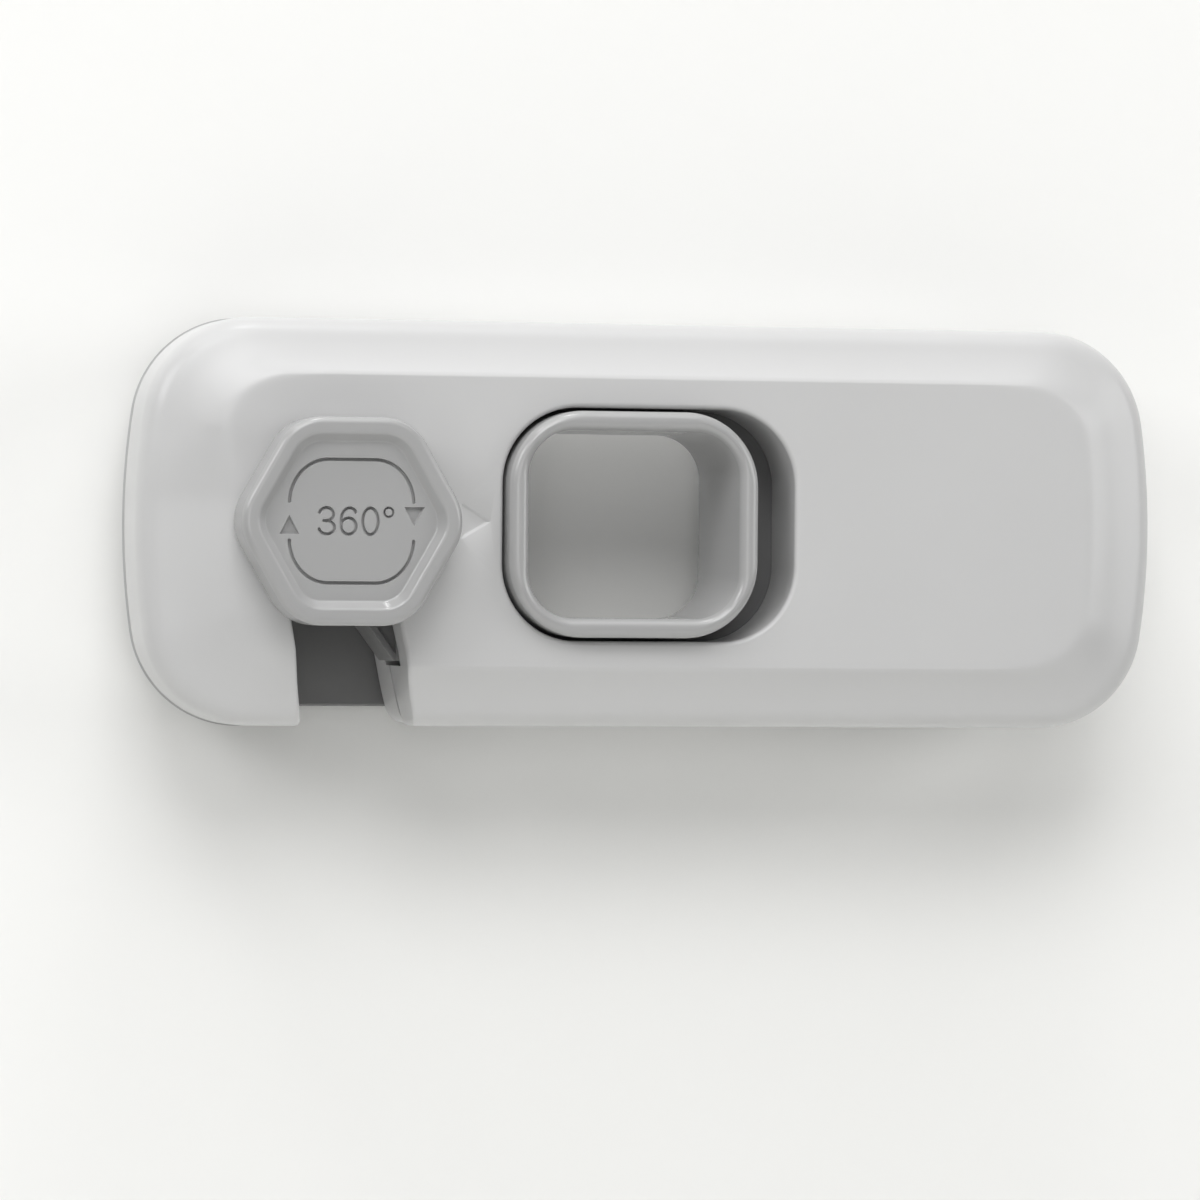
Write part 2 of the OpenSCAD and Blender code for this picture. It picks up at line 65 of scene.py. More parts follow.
# Places that the solids already have, in mm
lock = {
    "postX": middleX("catch_post"),
    "armLeft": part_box("front_cover")[0].x / mm - 1.2,  # the shells reach a little further than the solids
    "armRight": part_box("front_cover")[1].x / mm,
    "armHeight": 39.0,
    "cornerRadius": 10.5,
    "endRadius": 72.0,
    "backDepth": depths("rear_cover")[1],
    "partDepth": depths("front_cover")[1],
    "faceDepth": depths("front_cover")[0],
    "ringX": middleX("finger_ring"),
    "springZ": 10.4,
    "springDepth": 11.1,
    "meshStep": 2.0,  # longest side of a triangle along the broad faces' outlines
}

# camera: a long lens, a little to the left of square
view = {"lens": 189.0, "yaw": 14.5, "roll": -0.45, "aimX": -30.75, "aimZ": -7.2, "distance": 601.2}
camData = bpy.data.cameras.new("camera")
camera = bpy.data.objects.new("camera", camData)
scene.collection.objects.link(camera)
scene.camera = camera
camData.lens = view["lens"]
camData.sensor_width = 36
camData.clip_start = 0.01
yaw = math.radians(view["yaw"])
camera.location = (
    (view["aimX"] - view["distance"] * math.sin(yaw)) * mm,
    (-lock["faceDepth"] - view["distance"] * math.cos(yaw)) * mm,
    view["aimZ"] * mm,
)
camera.rotation_mode = "XYZ"
camera.rotation_euler = (math.radians(90), math.radians(view["roll"]), -yaw)


def arc(cx, cz, radius, start, end, steps, first=0, radiusZ=None):
    turns = [math.radians(start + (end - start) * i / steps) for i in range(first, steps + 1)]
    return [(cx + radius * math.cos(a), cz + (radiusZ or radius) * math.sin(a)) for a in turns]


def circle(x, z, radius, steps=48):
    return arc(x, z, radius, 0, 360, steps)[:-1]


def armLoop(inset=0.0, steps=24):  # outline of the arm, anticlockwise from the front
    cornerR, endR = lock["cornerRadius"], lock["endRadius"]
    cornerZ = lock["armHeight"] / 2 - cornerR
    lean = math.degrees(math.asin(cornerZ / (endR - cornerR)))
    rightX = lock["armRight"] - endR
    leftX = lock["armLeft"] + endR
    swing = (endR - cornerR) * math.cos(math.radians(lean))
    return (
        arc(rightX, 0, endR - inset, -lean, lean, steps, 1)
        + arc(rightX + swing, cornerZ, cornerR - inset, lean, 90, steps, 1)
        + arc(leftX - swing, cornerZ, cornerR - inset, 90, 180 - lean, steps)
        + arc(leftX, 0, endR - inset, 180 - lean, 180 + lean, steps, 1)
        + arc(leftX - swing, -cornerZ, cornerR - inset, 180 + lean, 270, steps, 1)
        + arc(rightX + swing, -cornerZ, cornerR - inset, 270, 360 - lean, steps)
    )


def boxLoop(cx, cz, width, height, radius, steps=14):  # rounded rectangle, anticlockwise
    x, z = width / 2 - radius, height / 2 - radius
    out = []
    for start, sx, sz in ((0, 1, 1), (90, -1, 1), (180, -1, -1), (270, 1, -1)):
        out += arc(cx + sx * x, cz + sz * z, radius, start, start + 90, steps)
    return out


def sheetLoop(x0, z0, x1, z1):
    return [(x0, z0), (x1, z0), (x1, z1), (x0, z1)]


def divide(path, step, closed=True):  # adds points so that no side is longer than step
    out = []
    for i in range(len(path) if closed else len(path) - 1):
        a, b = path[i], path[(i + 1) % len(path)]
        n = max(1, int(math.ceil(math.dist(a, b) / step)))
        out += [(a[0] + (b[0] - a[0]) * k / n, a[1] + (b[1] - a[1]) * k / n) for k in range(n)]
    return out if closed else out + [path[-1]]


def bow(start, bend, end, steps):  # curve from start to end that leans towards bend
    shares = [k / steps for k in range(steps + 1)]
    return [tuple((1 - t) ** 2 * start[c] + 2 * t * (1 - t) * bend[c] + t * t * end[c] for c in (0, 1))
            for t in shares]


def soften(path, radius, steps=4, closed=False):  # rounds the corners of a line of points
    out = []
    for i, p in enumerate(path):
        if not closed and i in (0, len(path) - 1):
            out.append(p)
            continue
        a, b = path[i - 1], path[(i + 1) % len(path)]
        reach = min(radius, math.dist(a, p) * 0.45, math.dist(b, p) * 0.45)
        ends = []
        for q in (a, b):
            share = reach / max(math.dist(q, p), 1e-9)
            ends.append((p[0] + (q[0] - p[0]) * share, p[1] + (q[1] - p[1]) * share))
        out += bow(ends[0], p, ends[1], steps)
    return out


def grow(loop, by):  # moves each point of an anticlockwise loop outwards
    pts = np.array(loop)
    along = np.roll(pts, -1, 0) - np.roll(pts, 1, 0)
    along /= np.linalg.norm(along, axis=1, keepdims=True) + 1e-12
    return [tuple(p) for p in pts + by * np.stack([along[:, 1], -along[:, 0]], 1)]


def holds(loop, pts):  # which points lie inside the loop
    corners = np.array(loop)
    inside = np.zeros(len(pts), bool)
    x, z = pts[:, 0], pts[:, 1]
    for (ax, az), (bx, bz) in zip(corners, np.roll(corners, -1, 0)):
        if az != bz:
            inside ^= ((az > z) != (bz > z)) & (x < (bx - ax) * (z - az) / (bz - az) + ax)
    return inside


def nearestOn(path, pts, closed=True):  # nearest place on a path for each point, and the distance
    path = np.array(path)
    ends = np.roll(path, -1, 0) if closed else path[1:]
    best, out = np.full(len(pts), 1e9), np.zeros((len(pts), 2))
    for a, b in zip(path, ends):
        d = b - a
        place = a + np.clip(((pts - a) @ d) / max(d @ d, 1e-12), 0, 1)[:, None] * d
        gap = np.hypot(*(pts - place).T)
        closer = gap < best
        best[closer], out[closer] = gap[closer], place[closer]
    return out, best


def gapTo(path, pts, closed=True):
    return nearestOn(path, pts, closed)[1]


def rounding(gap, radius):  # how far a rounded edge falls away at a distance from it
    near = np.clip(radius - gap, 0, radius)
    return radius - np.sqrt(np.maximum(radius ** 2 - near ** 2, 0))


def fillet(radius, steps=8):  # how far in from the edge the mesh lines of a rounding run
    return [radius * (1 - math.cos(math.pi / 2 * i / steps)) for i in range(steps + 1)]


def crest(near, edge):  # the same rounding in section: (how far in, depth)
    return [(by, near - edge + edge * math.sin(math.pi / 2 * i / 8)) for i, by in enumerate(fillet(edge))]


def addMesh(name, verts, faces):
    data = bpy.data.meshes.new(name)
    data.from_pydata([tuple(float(c) for c in v) for v in verts], [], faces)
    data.update()
    obj = bpy.data.objects.new(name, data)
    scene.collection.objects.link(obj)
    return obj


def joinMeshes(target, *others):
    bm = bmesh.new()
    bm.from_mesh(target.data)
    for other in others:
        bm.from_mesh(other.data)
        bpy.data.objects.remove(other)
    bm.to_mesh(target.data)
    bm.free()
    return target


def tidyMesh(obj, sharp=34):  # one closed skin, outwards, smooth but for its sharp edges
    bm = bmesh.new()
    bm.from_mesh(obj.data)
    bmesh.ops.remove_doubles(bm, verts=bm.verts, dist=2e-7)
    bmesh.ops.recalc_face_normals(bm, faces=bm.faces)
    bm.to_mesh(obj.data)
    bm.free()
    obj.data.shade_smooth()
    obj.data.set_sharp_from_angle(angle=math.radians(sharp))
    return obj


def region(loops, keep):  # triangles between flat loops, where keep says so
    verts, edges = [], []
    for loop in loops:
        first = len(verts)
        verts += loop
        edges += [(first + i, first + (i + 1) % len(loop)) for i in range(len(loop))]
    out = delaunay_2d_cdt([Vector(v) for v in verts], edges, [], 0, 1e-5)
    pts = np.array([tuple(v) for v in out[0]])
    tris = np.array([list(t) for t in out[2]])
    tris = tris[keep(pts[tris].mean(1))]
    used, tris = np.unique(tris, return_inverse=True)
    return pts[used], tris.reshape(-1, 3)


def block(name, pts, tris, front, back, backPts=None):  # a closed solid between two depths, point by point
    n = len(pts)
    verts = [(p[0] * mm, -d * mm, p[1] * mm) for p, d in zip(pts, front)]
    verts += [(p[0] * mm, -d * mm, p[1] * mm) for p, d in zip(pts if backPts is None else backPts, back)]
    faces = [tuple(int(i) for i in t) for t in tris]
    faces += [tuple(int(i) + n for i in t[::-1]) for t in tris]
    sides = {(int(t[i]), int(t[(i + 1) % 3])) for t in tris for i in range(3)}
    faces += [(a, a + n, b + n, b) for a, b in sides if (b, a) not in sides]
    return addMesh(name, verts, faces)


def within(outer, holes):  # test for the points inside one loop and outside the others
    def keep(p):
        kept = holds(outer, p)
        for hole in holes:
            kept &= ~holds(hole, p)
        return kept
    return keep


def slab(name, outer, near, far, holes=()):  # flat piece with square edges
    pts, tris = region([outer, *holes], within(outer, holes))
    return block(name, pts, tris, np.full(len(pts), near), np.full(len(pts), far))


def plate(name, outer, near, far, edge, holes=(), backEdge=None):  # flat piece with rounded edges
    backEdge = edge if backEdge is None else backEdge
    loops = []
    for radius in {edge, backEdge}:
        for by in fillet(radius, 5):
            loops.append(grow(outer, -by))
            loops += [grow(hole, by) for hole in holes]
    pts, tris = region(loops, within(outer, holes))
    gap = gapTo(outer, pts)
    for hole in holes:
        gap = np.minimum(gap, gapTo(hole, pts))
    return block(name, pts, tris, near - rounding(gap, edge), far + rounding(gap, backEdge))


def loft(name, rings, capStart=True, capEnd=True):  # rings of (x, z, depth) with the same number of points
    count = len(rings[0])
    verts = [(x * mm, -d * mm, z * mm) for section in rings for x, z, d in section]
    faces = []
    for i in range(len(rings) - 1):
        for k in range(count):
            n = (k + 1) % count
            faces.append((i * count + k, i * count + n, (i + 1) * count + n, (i + 1) * count + k))
    if capStart:
        faces.append(tuple(range(count))[::-1])
    if capEnd:
        faces.append(tuple(range((len(rings) - 1) * count, len(rings) * count)))
    return addMesh(name, verts, faces)


def turned(name, x, z, outline, soft=0.15, closed=False, steps=64):  # outline of (radius, depth)
    outline = soften(outline, soft, closed=closed)
    if closed:
        outline.append(outline[0])
    rings = [[(px, pz, d) for px, pz in circle(x, z, r, steps)] for r, d in outline]
    return loft(name, rings, not closed, not closed)


def shape(obj, operation, *tools):  # closed solids taken from, or added to, a closed solid
    for tool in tools:
        modifier = obj.modifiers.new("shape", "BOOLEAN")
        modifier.operation = operation
        modifier.solver = "MANIFOLD"
        modifier.object = tool
        bpy.context.view_layer.update()
        shaped = bpy.data.meshes.new_from_object(obj.evaluated_get(bpy.context.evaluated_depsgraph_get()))
        obj.modifiers.clear()
        obj.data = shaped
        bpy.data.objects.remove(tool)
    return obj


# materials
def fromHex(code):  # sRGB hex to linear
    parts = [int(code[i:i + 2], 16) / 255 for i in (1, 3, 5)]
    return tuple(c / 12.92 if c <= 0.04045 else ((c + 0.055) / 1.055) ** 2.4 for c in parts) + (1.0,)


def addNode(tree, kind, links=None, **settings):  # one node with its settings and what feeds it
    made = tree.nodes.new(kind)
    for key, value in settings.items():
        if hasattr(made, key):
            setattr(made, key, value)
        else:
            made.inputs[key.replace("_", " ")].default_value = value
    for key, source in (links or {}).items():
        tree.links.new(source, made.inputs[key])
    return made


def freshTree(name):
    material = bpy.data.materials.new(name)
    material.use_nodes = True
    material.node_tree.nodes.clear()
    return material, material.node_tree


def mottled(tree, place, scale, finish):  # two close tones that drift into each other
    drift = addNode(tree, "ShaderNodeTexNoise", {"Vector": place}, Scale=scale, Detail=3.0)
    tone = addNode(
        tree, "ShaderNodeMix", {"Factor": drift.outputs["Fac"]}, data_type="RGBA",
        A=fromHex(finish["dark"]), B=fromHex(finish["hex"]))
    return tone.outputs["Result"]


def surface(tree, tone, height, strength, depth, **settings):  # relief, the skin over it and the output
    bump = addNode(tree, "ShaderNodeBump", {"Height": height}, Strength=strength, Distance=depth)
    skin = addNode(
        tree, "ShaderNodeBsdfPrincipled", {"Base Color": tone, "Normal": bump.outputs["Normal"]}, **settings)
    addNode(tree, "ShaderNodeOutputMaterial", {"Surface": skin.outputs["BSDF"]})


plasticFinish = {
    "lightAbs": {"hex": "#C6C6C6", "dark": "#C0C0C0", "rough": 0.42, "coat": 0.25},
    "greyAbs": {"hex": "#A7A7A7", "dark": "#A1A1A1", "rough": 0.22, "coat": 0.2},
    "darkAbs": {"hex": "#6B6B6B", "dark": "#646464", "rough": 0.5, "coat": 0.0},
    "acetal": {"hex": "#727272", "dark": "#6C6C6C", "rough": 0.38, "coat": 0.0},
    "nylon": {"hex": "#DADAD4", "dark": "#D2D2CC", "rough": 0.5, "coat": 0.0},
}


def mouldedPlastic(name, finish):
    # injection-moulded plastic: an even colour with a faint drift where the melt flowed, and
    # the fine spark texture of the mould, which keeps highlights satin
    material, tree = freshTree(name)
    place = addNode(tree, "ShaderNodeTexCoord").outputs["Object"]
    tone = mottled(tree, place, 40.0, finish)  # drifts over about 25 mm
    # spark texture of about 0.12 mm
    grain = addNode(tree, "ShaderNodeTexNoise", {"Vector": place}, Scale=8000.0, Detail=1.0)
    surface(tree, tone, grain.outputs["Fac"], 0.04, 0.00002, Roughness=finish["rough"], IOR=1.53,
            Coat_Weight=finish["coat"], Coat_Roughness=0.2)
    return material


metalFinish = {  # scale: clouds of about 1.1 mm on zinc, 0.4 mm on wire
    "zincSteel": {"hex": "#C4C7CA", "dark": "#AEB2B6", "rough": 0.3, "scale": 900.0},
    "springSteel": {"hex": "#B9BBBE", "dark": "#96999D", "rough": 0.24, "scale": 2500.0},
}


def bareMetal(name, finish):
    # zinc-plated screws are bright with a faint cloudy bloom, and drawn spring wire is a little
    # darker and shows fine die marks
    material, tree = freshTree(name)
    place = addNode(tree, "ShaderNodeTexCoord").outputs["Object"]
    tone = mottled(tree, place, finish["scale"], finish)
    # die and tool marks of about 0.2 mm
    marks = addNode(tree, "ShaderNodeTexNoise", {"Vector": place}, Scale=5000.0, Detail=2.0)
    surface(tree, tone, marks.outputs["Fac"], 0.12, 0.00002, Metallic=1.0, Roughness=finish["rough"])
    return material


def closedCellFoam(name):
    # grey polyethylene foam tape: dull, with cut cells of about 0.3 mm on its edges
    material, tree = freshTree(name)
    place = addNode(tree, "ShaderNodeTexCoord").outputs["Object"]
    cells = addNode(tree, "ShaderNodeTexVoronoi", {"Vector": place}, Scale=3200.0)
    tone = addNode(
        tree, "ShaderNodeMix", {"Factor": cells.outputs["Distance"]}, data_type="RGBA",
        A=fromHex("#4B4B4A"), B=fromHex("#343433"))
    surface(tree, tone.outputs["Result"], cells.outputs["Distance"], 0.6, 0.00008, Roughness=0.9, IOR=1.5)
    return material


materials = {name: mouldedPlastic(name, finish) for name, finish in plasticFinish.items()}
materials.update({name: bareMetal(name, finish) for name, finish in metalFinish.items()})
materials["foam"] = closedCellFoam("foam")
print("materials:", len(materials))


def install(obj, finish, body, node, sharp=34):  # one finished piece on its body, for its node
    tidyMesh(obj, sharp)
    obj.data.materials.clear()
    obj.data.materials.append(materials[finish])
    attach(obj, body)
    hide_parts(node)
    print(obj.name, "on", body, "for", node + ":", len(obj.data.polygons), "faces")


# The slot: an arc about the pivot that straightens lower down, its corners rounded at the bottom edge
slot = {
    "half": 5.15,  # half its width
    "seat": 0.15,  # gap over the post
    "post": 4.0,  # the post's radius
    "flare": 0.8,  # rounding of the corners at the bottom edge
    "rearFlare": 1.6,
    "edge": 0.4,
    "rearEdge": 0.5,
    "frontDraft": 0.4,  # how far the right-hand wall leans out from the face to the parting line
    "rearDraft": -0.08,
}


def slotLean(z):  # how far the walls stand to the left of an arc about the pivot
    return 0.3 * min(max((-z - 4) / 5, 0), 1) + 0.105 * max(-z - 12, 0)


def slotPath(half, flare, shift=0.0, below=-25.0):  # bottom right, over the closed end, bottom left
    reach = -lock["postX"]
    low = -lock["armHeight"] / 2
    rest = math.degrees(math.asin((half - slot["post"] - slot["seat"]) / reach))

    def wall(radius, z):
        out = shift * min(max((-z - 5) / 9, 0), 1) if radius < reach else 0
        return -math.sqrt(radius ** 2 - z ** 2) - slotLean(z) + out

    def corner(radius, side):
        bend = (wall(radius, low), low)
        return bow((wall(radius, low + flare), low + flare), bend, (bend[0] + side * flare, low), 8)

    topZ = {radius: -radius * math.sin(math.radians(rest)) for radius in (reach - half, reach + half)}
    right = [(wall(reach - half, z), z) for z in np.linspace(low + flare, topZ[reach - half], 41)[1:]]
    left = [(wall(reach + half, z), z) for z in np.linspace(topZ[reach + half], low + flare, 41)[:-1]]
    endX, endZ = -reach * math.cos(math.radians(rest)), -reach * math.sin(math.radians(rest))
    rightCorner, leftCorner = corner(reach - half, 1), corner(reach + half, -1)
    return (
        [(rightCorner[-1][0], below)] + rightCorner[::-1] + right
        + arc(endX, endZ, half, rest, 180 + rest, 28, 1)[:-1]
        + left + leftCorner + [(leftCorner[-1][0], below)]
    )


def draft(pts, wallLine, by):  # points beside the slot's right-hand wall, moved with the wall
    fade = np.clip((-pts[:, 1] - 5) / 9, 0, 1) * (pts[:, 0] > lock["postX"] + 2)
    near = np.clip(1 - gapTo(wallLine, pts, closed=False) / 1.2, 0, 1)
    return np.stack([pts[:, 0] + by * fade * near, pts[:, 1]], 1)


# Bosses of the screws that hold the covers together
screws = {
    "spots": [(-67.17, 12.2), (-67.17, -12.2), (19.2, 12.2), (19.2, -12.2), (-49.55, 14.6)],
    "headDepth": 6.4,
    "headRadius": 2.4,
    "headHeight": 1.6,
    "major": 1.2,
    "core": 0.85,
    "pitch": 0.8,
    "endDepth": 15.6,
}

# The front cover
cover = {
    "sideMargin": 6.6,  # raised face to the arm's ends
    "topMargin": 5.65,  # raised face to the arm's long sides
    "shiftZ": 0.15,
    "creaseX": 7.0,  # corners of the raised face
    "creaseZ": 5.6,
    "edgeR": 2.6,  # rounding of the outer edge
    "lowSlope": 19.0,  # the bevel's slope at the outer edge and at the crease
    "highSlope": 38.0,
    "height": 10.0,  # over the parting line
    "window": (28.9, 22.3, 7.3),
    "windowX": 1.9,  # centre of the window, from the ring's
    "windowEdge": 0.45,
    "wall": 2.0,
    "collar": 1.5,
    "collarDepth": 12.0,
    "stepDepth": 15.6,  # the hollow narrows above this, under the bevel
    "roofInset": 5.6,
    "roofDepth": 18.2,
    "boss": 2.75,
    "softLeft": 4.0,  # how far the crease melts away at the ends, in mm of height
    "softRight": 1.0,
    "softOver": 0.72,  # how much less it does so at the upper left
    "groove": 0.27,  # half the parting line's width
    "grooveReach": 0.8,
    "inset": 0.12,  # the front cover stands just inside the tray
}
pawlHole = {"left": -52.3, "right": -44.15, "low": -13.65, "high": -4.0, "near": 16.1, "far": 8.7}


def creaseLoop(inset=0.0, steps=24):  # edge of the raised face
    top = lock["armHeight"] / 2 - cover["topMargin"] - inset
    rx, rz = cover["creaseX"] - inset, cover["creaseZ"] - inset
    radius = lock["endRadius"] - cover["sideMargin"] - inset
    z, mid = top - rz, cover["shiftZ"]
    rightMid = lock["armRight"] - lock["endRadius"]
    leftMid = lock["armLeft"] + lock["endRadius"]
    lean = math.degrees(math.asin(z / radius))
    rightX = rightMid + radius * math.cos(math.radians(lean)) - rx
    leftX = leftMid - radius * math.cos(math.radians(lean)) + rx
    return (
        arc(rightMid, mid, radius, -lean, lean, steps, 1)
        + arc(rightX, mid + z, rx, 0, 90, steps, 1, rz)
        + arc(leftX, mid + z, rx, 90, 180, steps, 0, rz)
        + arc(leftMid, mid, radius, 180 - lean, 180 + lean, steps, 1)
        + arc(leftX, mid - z, rx, 180, 270, steps, 1, rz)
        + arc(rightX, mid - z, rx, 270, 360, steps, 0, rz)
    )


def profile(s):  # height of the cover over the parting line at a distance s in from its outline
    edgeR = cover["edgeR"]
    low, high = math.radians(cover["lowSlope"]), math.radians(cover["highSlope"])
    run = cover["topMargin"] - edgeR * (1 - math.sin(low))
    bend = run / (math.sin(high) - math.sin(low))
    rise = bend * (math.cos(low) - math.cos(high))
    wallTop = cover["height"] - rise - edgeR * math.cos(low)
    first = edgeR * (1 - math.sin(low))
    edge = wallTop + np.sqrt(np.maximum(edgeR ** 2 - (edgeR - np.minimum(s, first)) ** 2, 0))
    centre = cover["topMargin"] - bend * math.sin(high)
    across = np.clip(s, first, cover["topMargin"]) - centre
    bevel = cover["height"] + bend * math.cos(high) - np.sqrt(bend ** 2 - across ** 2)
    beyond = np.maximum(s - cover["topMargin"], 0) * math.tan(high)
    return np.where(s < first, edge, bevel + beyond)


arrow = {"points": [(-44.5, 2.05), (-44.5, -1.65), (-41.4, 0.17)], "depth": 0.22}


def groove(edge):  # how far each cover stands back from the parting line near its edge
    return cover["groove"] * np.clip((cover["grooveReach"] - edge) / 0.2, 0, 1)


def pawlOpening():
    hole = pawlHole
    outline = sheetLoop(hole["left"], hole["low"], hole["right"], hole["high"])
    return slab("opening", outline, hole["near"], hole["far"])


def buildFrontCover():
    outline, crease = armLoop(cover["inset"]), creaseLoop()
    slotWall = slotPath(slot["half"], slot["flare"])
    openPart = slotWall[1:-1]
    window = boxLoop(lock["ringX"] + cover["windowX"], 0, *cover["window"], 18)

    shares = []  # how far between the outline and the crease each line of the mesh runs
    low = math.radians(cover["lowSlope"])
    for i in range(9):
        turn = (math.pi / 2 - low) * i / 8
        shares.append(cover["edgeR"] * (1 - math.cos(turn)) / cover["topMargin"])
    shares += [shares[-1] + (1 - shares[-1]) * i / 9 for i in range(1, 10)]
    loops = []
    for s in shares:
        between = [(a[0] + (b[0] - a[0]) * s, a[1] + (b[1] - a[1]) * s) for a, b in zip(outline, crease)]
        loops.append(divide(between, lock["meshStep"]))
    loops += [divide(creaseLoop(inset), lock["meshStep"]) for inset in (0.12, 0.35, 0.7, 1.1, 1.6, 2.2)]
    for turn in [math.radians(a) for a in (0, 12, 24, 37, 50, 64, 78, 90)]:
        loops.append(grow(window, cover["windowEdge"] * (1 - math.cos(turn))))
        loops.append(grow(slotWall, slot["edge"] * (1 - math.cos(turn))))
    loops.append(grow(window, cover["windowEdge"] + 0.3))
    loops += [grow(slotWall, by) for by in (slot["edge"] + 0.3, 1.2)]
    mark = divide(soften(arrow["points"], 0.3, closed=True), 0.4)
    loops += [grow(mark, by) for by in (0.04, -0.1, -0.17, -0.24, -0.31)]

    pts, tris = region(loops, within(outline, [slotWall, window]))
    outer = gapTo(outline, pts)
    toCrease = gapTo(crease, pts)
    toCrease = np.where(holds(crease, pts), -toCrease, toCrease)
    margin = cover["topMargin"]
    s = np.where(toCrease > 0, margin * outer / np.maximum(outer + toCrease, 1e-9), margin - toCrease)
    height = profile(s)
    soft = np.full(len(pts), 0.05)
    # at the left end it melts away least over the knob and furthest along the lower side
    toLeft, toRight = pts[:, 0] - lock["armLeft"], lock["armRight"] - pts[:, 0]
    leftSoft = cover["softLeft"] * (1 - cover["softOver"] * np.clip((pts[:, 1] - 2) / 7, 0, 1))
    leftReach = 1.5 + 1.3 * np.clip(-pts[:, 1] / 6, 0, 1)
    for most, gap, reach in ((leftSoft, toLeft, leftReach), (cover["softRight"], toRight, 1.5)):
        soft += most * np.clip(1.15 - (gap - cover["sideMargin"]) / (reach * cover["creaseX"]), 0, 1) ** 1.6
    mixed = np.maximum(soft - np.abs(height - cover["height"]), 0) / soft
    height = np.minimum(height, cover["height"]) - mixed ** 2 * soft / 4
    slotGap = gapTo(openPart, pts, closed=False)
    height -= rounding(gapTo(window, pts), cover["windowEdge"])
    height -= rounding(slotGap, slot["edge"])
    inMark = np.clip((np.where(holds(mark, pts), gapTo(mark, pts), -0.04) + 0.04) / 0.35, 0, 1)
    height -= arrow["depth"] * inMark ** 2 * (3 - 2 * inMark)
    front = lock["partDepth"] + height
    back = lock["partDepth"] + groove(np.minimum(outer, slotGap))
    shell = block("front_shell", pts, tris, front, back, draft(pts, openPart, slot["frontDraft"]))

    # hollow it as the mould does: collars stay round the window and the slot, bosses under the screws
    inner = armLoop(cover["wall"])
    slotCollar = slotPath(slot["half"] + cover["collar"], 0.01)
    bosses = [circle(x, z, cover["boss"]) for x, z in screws["spots"]]
    kept = [slotCollar, grow(window, cover["collar"]), *bosses]
    below = lock["partDepth"] - 1
    tools = [
        slab("low", inner, cover["collarDepth"], below, [slotCollar, *bosses]),
        slab("middle", inner, cover["stepDepth"], cover["collarDepth"] - 0.01, kept),
        slab("deep", armLoop(cover["roofInset"]), cover["roofDepth"], cover["stepDepth"] - 0.1, kept),
        pawlOpening(),
    ]
    pilot = screws["core"] + 0.1
    tools += [turned("pilot", x, z, [(pilot, below), (pilot, screws["endDepth"] + 0.5)], steps=24)
              for x, z in screws["spots"]]
    return shape(shell, "DIFFERENCE", *tools)


install(buildFrontCover(), "lightAbs", "arm", "front_cover")

# The rear cover: a tray with the slider's guides, the springs' seats, the lip and the pivot's collar
rear = {
    "edge": 1.2,
    "lean": 1.1,  # how far its ends and its long sides lean in towards the back
    "leanZ": 0.2,
    "leanReach": 2.6,
    "floor": 2.0,
    "inset": 3.35,  # tray wall and lip
    "lipOuter": 2.15,
    "lipHeight": 1.0,
    "boss": 3.9,
    "screwHole": 1.4,
    "headHole": 2.6,
    "collarRadius": 8.0,
    "collarHeight": 2.2,
    "bore": 5.05,
    "plateHalf": 13.35,  # half the height of the plate's run
    "plateRight": -5.2,
    "plateLeft": -45.5,
    "rail": 1.5,
    "railDepth": 11.7,
    "ledge": 1.6,
    "ledgeEnd": -9.35,
    "ledgeDepth": 10.2,
    "lowLeft": -42.0,  # the lower guide stops short of the pawl
    "seatX": 3.0,  # what the springs push against
    "seatWidth": 1.5,
    "seatHalf": 1.9,
    "seatDepth": 13.0,
    "shelfLeft": -48.3,  # floor of the pocket that the pawl swings in
    "shelfDepth": 8.65,
    "ringHole": (25.4, 18.5, 5.05),
    "ringHoleX": 2.0,  # its centre, from the ring's
}


